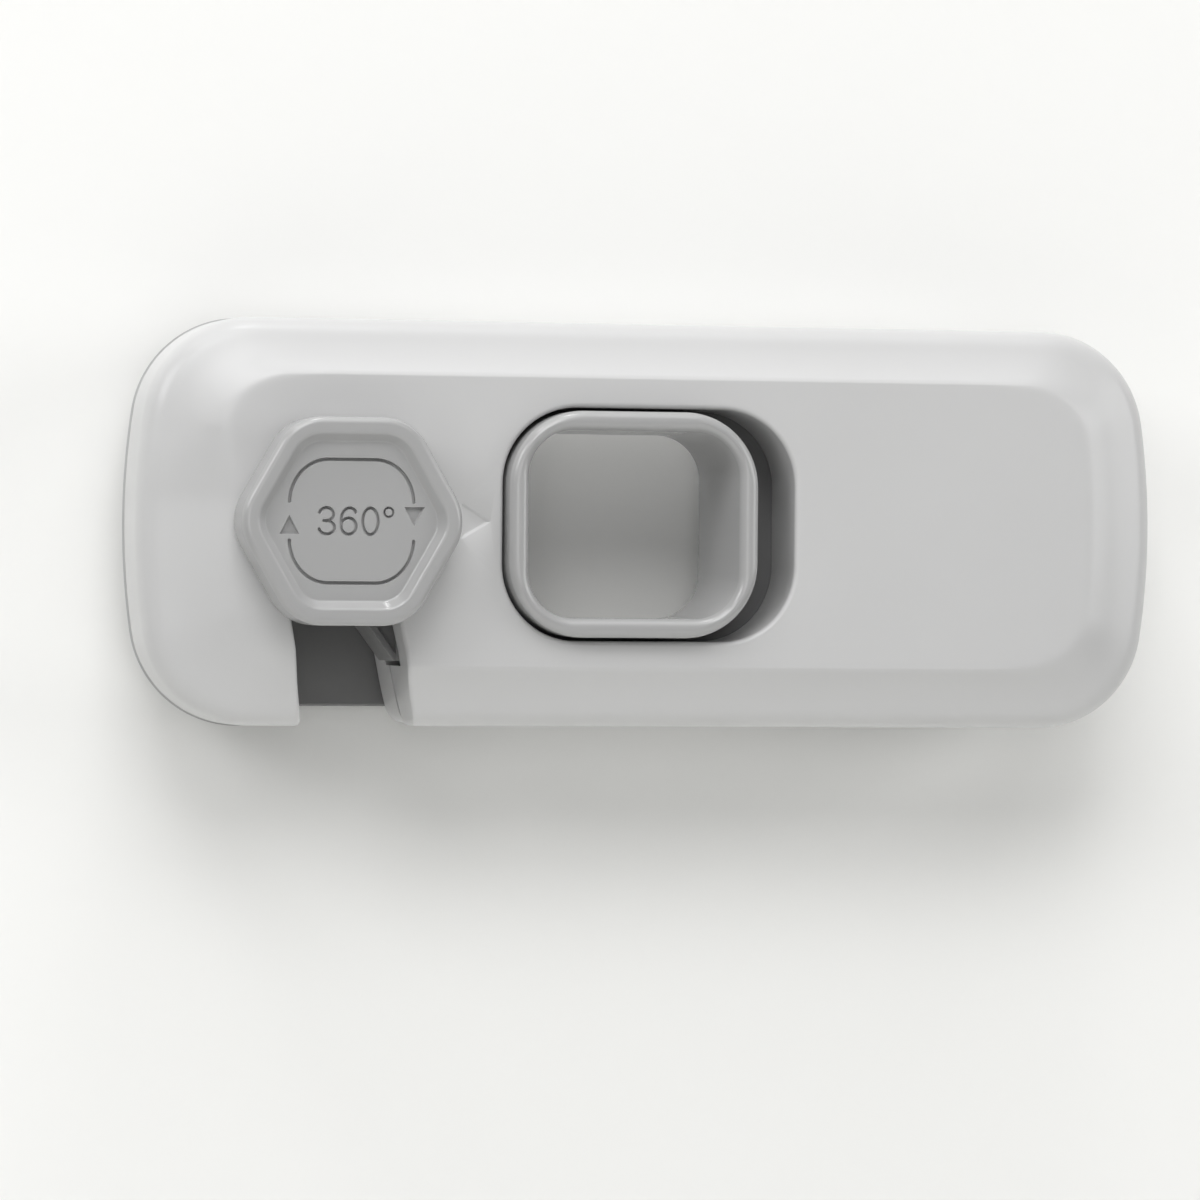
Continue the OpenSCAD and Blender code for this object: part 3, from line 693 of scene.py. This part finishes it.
def buildRearCover():
    outline = armLoop()
    slotWall = slotPath(slot["half"], slot["rearFlare"], slot["frontDraft"])
    openPart = slotWall[1:-1]
    loops = [divide(armLoop(inset), lock["meshStep"]) for inset in (2.0, rear["leanReach"])]
    for by in fillet(rear["edge"]):
        loops += [divide(armLoop(by), lock["meshStep"]), grow(slotWall, by * slot["rearEdge"] / rear["edge"])]
    pts, tris = region(loops, within(outline, [slotWall]))
    outer, slotGap = gapTo(outline, pts), gapTo(openPart, pts, closed=False)
    front = lock["partDepth"] - groove(np.minimum(outer, slotGap))
    back = lock["backDepth"] + np.maximum(rounding(outer, rear["edge"]), rounding(slotGap, slot["rearEdge"]))
    reach = rear["leanReach"]
    leaning = (nearestOn(armLoop(reach), pts)[0] - pts) * (rear["lean"] / reach, rear["leanZ"] / reach)
    leaning *= (outer < reach)[:, None]
    tray = block("rear_tray", pts, tris, front, back, draft(pts, openPart, slot["rearDraft"]) + leaning)

    floorD = lock["backDepth"] + rear["floor"]
    above = lock["partDepth"] + 2
    inner, lipLoop = armLoop(rear["inset"]), armLoop(rear["lipOuter"])
    slotCollar = slotPath(slot["half"] + cover["collar"] + 0.3, 0.01)
    bosses = [circle(x, z, rear["boss"]) for x, z in screws["spots"]]
    collar = circle(0, 0, rear["collarRadius"], 64)
    collarD = floorD + rear["collarHeight"]
    shape(
        tray, "DIFFERENCE",
        slab("hollow", inner, above, floorD, [slotCollar, collar, *bosses]),
        slab("overCollar", circle(0, 0, rear["collarRadius"] + 0.02, 64), above, collarD),
    )
    plateRun = sheetLoop(rear["plateLeft"] - 0.15, -rear["plateHalf"], rear["plateRight"], rear["plateHalf"])
    lipHoles = [inner, slotPath(slot["half"] + cover["collar"] + 0.15, 0.01), plateRun]
    lipHoles += [circle(x, z, cover["boss"] + 0.15) for x, z in screws["spots"]]
    lipTop = lock["partDepth"] + rear["lipHeight"]
    shape(tray, "UNION", slab("lip", lipLoop, lipTop, lock["partDepth"] - 0.5, lipHoles))
    root = floorD - 1
    for side in (-1, 1):
        left = rear["plateLeft"] if side > 0 else rear["lowLeft"]
        guideZ = sorted((side * rear["plateHalf"], side * (rear["plateHalf"] + rear["rail"])))
        ledgeZ = sorted((side * (rear["plateHalf"] - rear["ledge"]), side * (rear["plateHalf"] + 0.5)))
        seatZ = side * lock["springZ"]
        seat = sheetLoop(rear["seatX"], seatZ - rear["seatHalf"],
                         rear["seatX"] + rear["seatWidth"], seatZ + rear["seatHalf"])
        shape(
            tray, "UNION",
            slab("rail", sheetLoop(left, guideZ[0], rear["plateRight"], guideZ[1]), rear["railDepth"], root),
            slab("ledge", sheetLoop(left, ledgeZ[0], rear["ledgeEnd"], ledgeZ[1]), rear["ledgeDepth"], root),
            slab("seat", seat, rear["seatDepth"], root),
        )
    shelf = sheetLoop(rear["shelfLeft"], pawlHole["low"] - 1, pawlHole["right"], pawlHole["high"] + 1)
    shape(tray, "UNION", slab("shelf", shelf, rear["shelfDepth"], root))
    ringHole = boxLoop(lock["ringX"] + rear["ringHoleX"], 0, *rear["ringHole"])
    tools = [
        slab("through", slotPath(slot["half"], 1.0, slot["frontDraft"]), above, lock["partDepth"] - 0.2),
        plate("ringHole", ringHole, floorD + 1, lock["backDepth"] - 1, 0.01),
        turned("bore", 0, 0, [(rear["bore"], lock["backDepth"] - 1), (rear["bore"], collarD + 1)]),
        pawlOpening(),
    ]
    for x, z in screws["spots"]:
        tools.append(turned("headHole", x, z, [
            (rear["headHole"], lock["backDepth"] - 1), (rear["headHole"], screws["headDepth"]),
            (rear["screwHole"], screws["headDepth"]), (rear["screwHole"], above)], 0.01, steps=32))
    return shape(tray, "DIFFERENCE", *tools)


install(buildRearCover(), "lightAbs", "arm", "rear_cover")


def shank(name, x, z, near, far, pitch, major, core, steps=24):  # threaded rod, tapered at its near end
    count = int((near - far) / pitch * 8)
    rings = []
    for i in range(count + 1):
        d = far + (near - far) * i / count
        taper = min(1.0, (near - d) / pitch + 0.35)
        section = []
        for k in range(steps):
            phase = (d / pitch - k / steps) % 1.0
            ridge = max(0.0, 1 - abs(2 * phase - 1) * 1.5)
            r = (core + (major - core) * ridge) * taper
            a = 2 * math.pi * k / steps
            section.append((x + r * math.cos(a), z + r * math.sin(a), d))
        rings.append(section)
    return loft(name, rings)


def crossTool(x, z, radius, near, far):  # cutter for a cross recess
    wide, thin = radius * 0.55, radius * 0.14
    loop = []
    for a in (0, 90, 180, 270):
        c, s = round(math.cos(math.radians(a))), round(math.sin(math.radians(a)))
        for px, pz in ((wide, -thin), (wide, thin), (thin, thin)):
            loop.append((x + px * c - pz * s, z + px * s + pz * c))
    return slab("cross", loop, near, far)


def buildCoverScrews():
    made = []
    for x, z in screws["spots"]:
        radius, seat, core = screws["headRadius"], screws["headDepth"], screws["core"]
        top = seat - screws["headHeight"]
        outline = [(radius - 0.5, top), (radius, top), (radius, seat), (core, seat + 0.4)]
        head = turned("head", x, z, outline, 0.5, steps=40)
        shape(head, "DIFFERENCE", crossTool(x, z, radius, top + 0.9, top - 1))
        rod = shank("rod", x, z, screws["endDepth"], seat + 0.1, screws["pitch"], screws["major"], core)
        made.append(shape(head, "UNION", rod))
    made[0].name = "five_cover_screws"
    return joinMeshes(*made)


install(buildCoverScrews(), "zincSteel", "arm", "cover_screws")

# The finger ring
ring = {
    "width": 24.5,
    "height": 21.6,
    "radius": 7.2,
    "wall": 1.85,
    "holeRadius": 4.4,
    "edge": 0.85,  # rounding of the crest
    "snap": [(0, 10.3), (0.3, 10.4), (0.3, 11.8), (0, 11.9)],  # groove: (how far in, depth)
}


def buildRing():
    wall, edge = ring["wall"], ring["edge"]
    outer = boxLoop(lock["ringX"], 0, ring["width"], ring["height"], ring["radius"], 22)
    holeW, holeH = ring["width"] - 2 * wall, ring["height"] - 2 * wall
    hole = boxLoop(lock["ringX"], 0, holeW, holeH, ring["holeRadius"], 22)
    near, far = depths("finger_ring")
    top, foot = crest(near, edge), [(0.15, far), (0, far + 0.15)]
    # up the outside, with a shallow groove where the ring snaps into the plate, and down the hole
    rings = [[(x, z, d) for x, z in grow(outer, -o)] for o, d in foot + ring["snap"] + top]
    rings += [[(x, z, d) for x, z in grow(hole, o)] for o, d in top[::-1] + foot[::-1]]
    rings.append(rings[0])
    return loft("square_ring", rings, capStart=False, capEnd=False)


install(buildRing(), "greyAbs", "slider", "finger_ring")

# The slider's plate, with the pawl's lug and the springs' pins
slider = {
    "left": -45.5,
    "right": -9.2,
    "height": 26.4,
    "corner": 2.0,
    "edge": 0.15,
    "hole": (24.0, 21.1, 7.15),  # the ring snaps into it
    "lug": (-49.2, -12.75, -44.5, -10.5),  # carries the pawl
    "pin": 0.7,
    "pinLength": 2.3,
}


def buildSliderPlate():
    near, far = depths("slider_plate")
    middle, width = (slider["left"] + slider["right"]) / 2, slider["right"] - slider["left"]
    hole = boxLoop(lock["ringX"], 0, *slider["hole"], 22)
    made = plate("slide", boxLoop(middle, 0, width, slider["height"], slider["corner"]), near, far,
                 slider["edge"], [hole])
    shape(made, "UNION", plate("lug", sheetLoop(*slider["lug"]), near, far, slider["edge"]))
    for side in (-1, 1):
        rings = []
        for x, r in ((-0.6, 1.0), (0, 1.0), (slider["pinLength"] - 0.3, 1.0), (slider["pinLength"], 0.6)):
            rings.append([(slider["right"] + x, side * lock["springZ"] + pz * r, (near + far) / 2 + pd * r)
                          for pz, pd in circle(0, 0, slider["pin"], 20)])
        shape(made, "UNION", tidyMesh(loft("pin", rings)))
    return made


install(buildSliderPlate(), "darkAbs", "slider", "slider_plate")

# The latch pawl: a springy blade on a foot
pawl = {
    "tip": (-55.22, -5.4),
    "root": (-49.37, -13.3),
    "thick": 0.6,
    "foot": (-49.67, -13.15, -46.67, -10.15),
    "webTop": -9.2,  # a web joins blade and foot up to here
}


def buildPawl():
    near, far = depths("latch_pawl")
    half = pawl["thick"] / 2
    along = np.array(pawl["root"]) - np.array(pawl["tip"])
    along /= np.hypot(*along)
    side = np.array([-along[1], along[0]])  # towards the upper right
    turn = math.degrees(math.atan2(along[1], along[0]))
    low = pawl["foot"][1]

    def down(start):  # where a face of the blade meets the level of the foot's underside
        start = np.array(start)
        return tuple(start + along * (low - start[1]) / along[1])

    tip = np.array(pawl["tip"])
    blade = [down(tip - side * half), down(tip + side * half)]
    blade += arc(tip[0], tip[1], half, turn + 90, turn + 270, 10)
    made = plate("pawl_blade", divide(blade, 1.5), near, far, 0.08)
    foot, top = pawl["foot"], pawl["webTop"]
    onBlade = tip + along * (top - tip[1]) / along[1]
    web = [tuple(down(tip)), (foot[0] + 0.6, foot[1]), (foot[0] + 0.6, top), tuple(onBlade)]
    return shape(made, "UNION", plate("foot", sheetLoop(*foot), near, far, 0.12),
                 slab("web", web, near - 0.45, far + 0.3))


install(buildPawl(), "acetal", "slider", "latch_pawl")

# The return springs: closed ends, open turns between
spring = {
    "left": -9.1,
    "length": 12.0,
    "radius": 1.9,
    "wire": 0.25,  # the wire's radius
    "turns": 7,
    "steps": 28,  # mesh steps in a turn
    "keep": 0.667,  # share of its length when the ring is drawn right back
}


def buildSpring(name, side):
    wire, turns = spring["wire"], spring["turns"]
    centreZ, centreD = side * lock["springZ"], lock["springDepth"]
    mean = spring["radius"] - wire
    pitch = (spring["length"] - 2 * wire - 2 * 2 * wire) / (turns - 2)
    rings = []
    for i in range(turns * spring["steps"] + 1):
        turn = i / spring["steps"]
        x = spring["left"] + wire + 2 * wire * min(turn, 1) + pitch * min(max(turn - 1, 0), turns - 2)
        x += 2 * wire * max(turn - turns + 1, 0)
        a = 2 * math.pi * turn
        out = (math.cos(a), math.sin(a))
        section = []
        for k in range(10):
            b = 2 * math.pi * k / 10
            r = mean + wire * math.cos(b)
            section.append((x + wire * math.sin(b), centreZ + out[0] * r, centreD + out[1] * r))
        rings.append(section)
    return loft(name, rings)


for side, name in ((1, "upper"), (-1, "lower")):
    coil = buildSpring(name + "_coil", side)
    install(coil, "springSteel", "arm", name + "_spring")
    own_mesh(coil)

# The knob, with its signs sunk into the dished front
knob = {
    "flats": 19.6,
    "cornerR": 4.8,
    "edge": 0.7,
    "rim": 1.45,
    "rimEdge": 0.45,
    "slope": 0.75,  # width of the slope from the rim to the floor
    "foot": 0.3,
    "dish": 0.95,  # depth of the floor
    "line": 0.165,  # half the width of the arcs
    "thinLine": 0.15,  # and of the figures
    "degreeLine": 0.11,  # and of the degree sign
    "lineDepth": 0.42,
    "lineSlope": 0.05,
    "arrowSlope": 0.08,
    "recess": 6.05,  # round recess in the back
    "recessDepth": 1.85,
}


def hexCentre(i):  # centre of the rounding at one of the six corners
    side = (knob["flats"] - 2 * knob["cornerR"]) / math.sqrt(3)
    a = math.radians(60 * i)
    return lock["postX"] + side * math.cos(a), side * math.sin(a)


def hexLoop():
    out = []
    for i in range(6):
        out += arc(*hexCentre(i), knob["cornerR"], 60 * i - 30, 60 * i + 30, 12)
    return divide(out, 1.2)


def hexRing(inset, depth):
    out = []
    for x, z in hexLoop():
        i = int(((math.degrees(math.atan2(z, x - lock["postX"])) + 30) % 360) // 60)
        cx, cz = hexCentre(i)
        a = math.atan2(z - cz, x - cx)
        lean = (math.degrees(a) - 60 * i + 180) % 360 - 180
        if abs(lean) > 30:  # on a flat: straight in
            a = math.radians(60 * i + (30 if lean > 0 else -30))
        out.append((x - inset * math.cos(a), z - inset * math.sin(a), depth))
    return out


def strokeLoop(path, half, closed=False):  # outline of a line of some width with round ends
    pts = [np.array(p, float) for p in path]
    n = len(pts)
    left, right = [], []
    for i, p in enumerate(pts):
        ahead = pts[(i + 1) % n] if closed or i < n - 1 else p
        behind = pts[i - 1] if closed or i > 0 else p
        d = ahead - behind
        d = d / (np.hypot(*d) + 1e-12)
        side = np.array([-d[1], d[0]]) * half
        left.append(tuple(p + side))
        right.append(tuple(p - side))
    if closed:
        return [left, right]
    out = []
    for run, tip, before in ((right, pts[-1], pts[-2]), (left[::-1], pts[0], pts[1])):
        d = tip - before
        turn = math.degrees(math.atan2(d[1], d[0]))
        out += run + arc(*tip, half, turn - 90, turn + 90, 6)[1:-1]
    return [out]


def knobSigns():  # centre lines in mm from the knob's middle: (path, closed, half width)
    line, thin = knob["line"], knob["thinLine"]
    side, top, bendX, bendZ = 5.96, 5.79, 3.7, 4.1
    upper = (
        arc(side - bendX, top - bendZ, bendX, 2, 90, 24, 0, bendZ)
        + arc(bendX - side, top - bendZ, bendX, 90, 178, 24, 0, bendZ)
    )
    lower = [(-x, -z) for x, z in upper]
    three = (
        arc(-2.42, 0.65, 0.68, 165, -75, 18, 0, 0.61) + [(-2.45, 0.03)]
        + arc(-2.39, -0.59, 0.75, 75, -165, 20, 0, 0.62)
    )
    middleBar = [(-2.68, 0.04), (-2.3, 0.04)]
    six = arc(-0.29, -0.45, 0.72, 90, -246, 28, 0, 0.76)
    sixArm = [(0.36, 0.86)] + arc(-0.18, 0.1, 0.83, 46, 180, 18, 1, 1.15) + [(-1.01, -0.45)]
    zero = arc(1.8, 0.02, 0.74, 0, 352, 44, 0, 1.24)
    degree = arc(3.56, 0.88, 0.43, 0, 345, 23)
    return [
        (upper, False, line), (lower, False, line), (three, False, thin), (middleBar, False, thin),
        (six, True, thin), (sixArm, False, thin), (zero, True, thin), (degree, True, knob["degreeLine"]),
    ]


knobArrows = [
    [(-6.9, -1.25), (-5.0, -1.25), (-5.97, 0.55)],
    [(5.05, 1.4), (6.0, -0.4), (7.03, 1.4)],
]


def buildKnob():
    near, far = depths("knob_cap")
    steps = [(0.3, far), (0.0, far + 0.3)] + crest(near, knob["edge"])
    # from the rim down to the floor: a crisp bend, a steep slope and a soft hollow
    bend = knob["rim"] + 0.1
    slope = [(knob["rim"] - 0.4, 0.0), (bend, 0.0), (bend + knob["slope"], knob["dish"]),
             (bend + knob["slope"] + knob["foot"], knob["dish"])]
    bends = soften(slope[:3], knob["rimEdge"], 7)[:-1] + soften(slope[1:], 0.6, 9)[1:]
    steps += [(o, near - down) for o, down in bends]
    floorD = near - knob["dish"]
    rings = [[(lock["postX"] + knob["recess"] * math.cos(a), knob["recess"] * math.sin(a), d) for a in
              [math.atan2(z, x - lock["postX"]) for x, z in hexLoop()]]
             for d in (far + knob["recessDepth"], far)]
    rings += [hexRing(o, d) for o, d in steps]
    body = loft("knob_front", rings, capStart=True, capEnd=False)
    rim = [(x, z) for x, z, d in rings[-1]]
    loops = [rim, [(x, z) for x, z, d in hexRing(steps[-1][0] + 0.3, 0)]]
    marks = []
    for path, closed, half in knobSigns():
        moved = [(x + lock["postX"], z) for x, z in path]
        marks.append((moved, closed, half))
        for width in (half, half - knob["lineSlope"]):
            loops += strokeLoop(moved, width, closed)
    arrows = [divide([(x + lock["postX"], z) for x, z in a], 0.3) for a in knobArrows]
    for a in arrows:
        loops += [a, grow(a, -knob["arrowSlope"])]
    pts, tris = region(loops, lambda p: holds(rim, p))
    a, b, c = (pts[tris[:, i]] for i in range(3))
    across = np.abs((b - a)[:, 0] * (c - a)[:, 1] - (b - a)[:, 1] * (c - a)[:, 0])
    tris = tris[across > 1e-3 * np.linalg.norm(np.stack([b - a, c - b, a - c]), axis=2).max(0)]  # no slivers
    drop = np.zeros(len(pts))
    for path, closed, half in marks:
        d = gapTo(path, pts, closed)
        drop = np.maximum(drop, knob["lineDepth"] * np.clip((half - d) / knob["lineSlope"], 0, 1))
    for a in arrows:
        d = np.where(holds(a, pts), gapTo(a, pts), 0)
        drop = np.maximum(drop, knob["lineDepth"] * np.clip(d / knob["arrowSlope"], 0, 1))
    front = addMesh(
        "front", [(p[0] * mm, -(floorD - s) * mm, p[1] * mm) for p, s in zip(pts, drop)],
        [tuple(int(i) for i in t) for t in tris])
    return joinMeshes(body, front)


install(buildKnob(), "greyAbs", "knob", "knob_cap", 40)

# Round pieces, each turned from its outline of (radius, depth)
postX = lock["postX"]
turnedPieces = [
    {"name": "knob_stem_body", "node": "knob_stem", "body": "knob", "finish": "greyAbs", "x": postX,
     "outline": [(1.25, 14.4), (1.25, 6.0), (2.5, 6.0), (2.5, 20.8), (6.0, 20.8), (6.0, 22.6)]},
    {"name": "knob_washer_disc", "node": "knob_washer", "body": "knob", "finish": "zincSteel", "x": postX,
     "closed": True, "outline": [(1.4, 4.3), (3.05, 4.3), (3.05, 4.8), (1.4, 4.8)]},
    {"name": "catch_post_tube", "node": "catch_post", "body": "bases", "finish": "lightAbs", "x": postX,
     "closed": True, "outline": [(3.2, 1.0), (6.5, 1.0), (6.5, 2.0), (4.0, 2.0), (4.0, 20.6), (2.55, 20.6),
                                 (2.55, 5.9), (1.4, 5.9), (1.4, 4.9), (3.2, 4.9)]},
    {"name": "pivot_base_boss", "node": "pivot_base", "body": "bases", "finish": "darkAbs", "x": 0,
     "outline": [(14.0, 1.0), (14.5, 1.0), (14.5, 3.5), (5.0, 3.5), (5.0, 8.5), (1.65, 8.5), (1.65, 2.1)]},
    {"name": "pivot_shim_ring", "node": "pivot_shim", "body": "bases", "finish": "nylon", "x": 0,
     "closed": True, "outline": [(5.05, 3.5), (10.0, 3.5), (10.0, 4.1), (5.05, 4.1)]},
    {"name": "pivot_washer_disc", "node": "pivot_washer", "body": "bases", "finish": "zincSteel", "x": 0,
     "closed": True, "outline": [(1.8, 8.5), (7.0, 8.5), (7.0, 9.5), (1.8, 9.5)]},
]
for piece in turnedPieces:
    made = turned(piece["name"], piece["x"], 0, piece["outline"], 0.2, piece.get("closed", False), 80)
    install(made, piece["finish"], piece["body"], piece["node"])

knobScrew = {
    "head": [(2.2, 2.8), (2.7, 2.8), (2.7, 4.3), (0.85, 4.6)],
    "cross": (2.7, 3.7, 1.8),  # head radius, near and far
    "thread": (13.3, 4.4, 0.8, 1.2, 0.85),  # near, far, pitch, outer and core radius
}
pivotScrew = {
    "head": [(1.1, 9.3), (3.8, 9.5), (3.8, 11.7), (3.3, 11.7)],
    "key": 2.5,
    "socket": (12.7, 10.7),
    "thread": (-2.6, -9.4, 0.7, 1.6, 1.25),
}


def buildKnobScrew():
    head = turned("knob_screw_head", postX, 0, knobScrew["head"], 0.5, steps=48)
    shape(head, "DIFFERENCE", crossTool(postX, 0, *knobScrew["cross"]))
    return shape(head, "UNION", shank("rod", postX, 0, *knobScrew["thread"]))


def buildPivotScrew():
    head = turned("pivot_socket_screw", 0, 0, pivotScrew["head"], 0.35, steps=64)
    shape(head, "DIFFERENCE", slab("socket", circle(0, 0, pivotScrew["key"], 6), *pivotScrew["socket"]))
    rod = shank("rod", 0, 0, *pivotScrew["thread"])
    for v in rod.data.vertices:  # the thread is made facing the other way
        v.co.y = -v.co.y
    return shape(head, "UNION", tidyMesh(rod))


install(buildKnobScrew(), "zincSteel", "knob", "knob_screw")
install(buildPivotScrew(), "zincSteel", "bases", "pivot_screw")

# The bases and their foam pads
base = {"width": 32.0, "height": 35.4, "corner": 8.0, "edge": 0.3}
catchLoop = boxLoop(postX, 0, base["width"], base["height"], base["corner"], 20)
padLoop = boxLoop(postX, 0, base["width"] - 1, base["height"] - 1, base["corner"] - 0.5, 20)
catchBase = plate("catch_base_plate", catchLoop, 3.5, 1.0, base["edge"], [circle(postX, 0, 4.05)], 0.2)
footTool = turned("foot", postX, 0, [(6.55, 0.5), (6.55, 2.05)], steps=64)
install(shape(catchBase, "DIFFERENCE", footTool), "darkAbs", "bases", "catch_base")
pads = [
    plate("catch_foam", padLoop, 1.0, 0.0, 0.1),
    turned("pivot_foam", 0, 0, [(13.9, 0), (14, 0), (14, 1), (13.9, 1)], 0.1),
]
for foam, node in zip(pads, ("catch_pad", "pivot_pad")):
    install(foam, "foam", "bases", node)

# Floor, wall and light
stage = {"half": 0.6, "low": -0.35, "high": 0.5, "front": -0.9, "wallY": 0.0005, "paint": "#F4F4F2"}


def stageSheet(name, corners):  # pale painted board, clear from behind and to lamps, so that the back shows
    sheet = addMesh(name, corners, [(0, 1, 2, 3)])
    material, tree = freshTree(name + "_paint")
    skin = addNode(tree, "ShaderNodeBsdfPrincipled", Base_Color=fromHex(stage["paint"]), Roughness=0.6)
    clear = addNode(tree, "ShaderNodeBsdfTransparent")
    side = addNode(tree, "ShaderNodeNewGeometry")
    path = addNode(tree, "ShaderNodeLightPath")
    passes = addNode(tree, "ShaderNodeMath", operation="MAXIMUM")
    tree.links.new(side.outputs["Backfacing"], passes.inputs[0])
    tree.links.new(path.outputs["Is Shadow Ray"], passes.inputs[1])
    mix = addNode(tree, "ShaderNodeMixShader", {"Fac": passes.outputs["Value"]})
    tree.links.new(skin.outputs["BSDF"], mix.inputs[1])
    tree.links.new(clear.outputs["BSDF"], mix.inputs[2])
    addNode(tree, "ShaderNodeOutputMaterial", {"Surface": mix.outputs["Shader"]})
    sheet.data.materials.append(material)


halfW, wallY, floorZ = stage["half"], stage["wallY"], stage["low"]
wallFoot = [(-halfW, wallY, floorZ), (halfW, wallY, floorZ)]
stageSheet("wall", wallFoot + [(halfW, wallY, stage["high"]), (-halfW, wallY, stage["high"])])
stageSheet("floor", [(-halfW, stage["front"], floorZ), (halfW, stage["front"], floorZ)] + wallFoot[::-1])


def addLamp(name, place, aim, size, power):
    data = bpy.data.lights.new(name, "AREA")
    data.shape = "RECTANGLE"
    data.size = data.size_y = size
    data.energy = power
    lamp = bpy.data.objects.new(name, data)
    lamp.location = place
    lamp.rotation_euler = (Vector(aim) - Vector(place)).to_track_quat("-Z", "Y").to_euler()
    scene.collection.objects.link(lamp)


# softboxes about a metre away: azimuth and elevation seen from the lock, size, watts
lamps = {
    "overhead": (2, 62, 0.9, 4.5),
    "edgeTop": (8, 80, 0.15, 1.4),  # small and steep: these two draw bright lines along the edges
    "edgeLeft": (-62, 60, 0.15, 0.8),
    "key": (-14, 40, 0.5, 3.25),
    "left": (-58, 28, 0.4, 2.9),
    "right": (60, 10, 0.5, 2.5),
    "front": (-14, 3, 0.35, 0.8),
    "behind": (-150, 30, 0.6, 3.0),  # for the back
}
middle = Vector((-0.024, -0.015, 0.0))
for name, (azimuth, elevation, size, power) in lamps.items():
    a, e = math.radians(azimuth), math.radians(elevation)
    way = Vector((math.sin(a) * math.cos(e), -math.cos(a) * math.cos(e), math.sin(e)))
    addLamp(name, middle + way, middle, size, power)

world = bpy.data.worlds.new("studio")
scene.world = world
world.use_nodes = True
sky = world.node_tree
sky.nodes.clear()
# faint light from all round, and a pale backdrop that only the camera sees
faint, shown = (addNode(sky, "ShaderNodeBackground", Color=(1, 1, 1, 1), Strength=s) for s in (0.04, 0.8))
seen = addNode(sky, "ShaderNodeLightPath")
backdrop = addNode(sky, "ShaderNodeMixShader", {"Fac": seen.outputs["Is Camera Ray"]})
sky.links.new(faint.outputs["Background"], backdrop.inputs[1])
sky.links.new(shown.outputs["Background"], backdrop.inputs[2])
addNode(sky, "ShaderNodeOutputWorld", {"Surface": backdrop.outputs["Shader"]})
scene.view_settings.view_transform = "Standard"

print("stage ready")
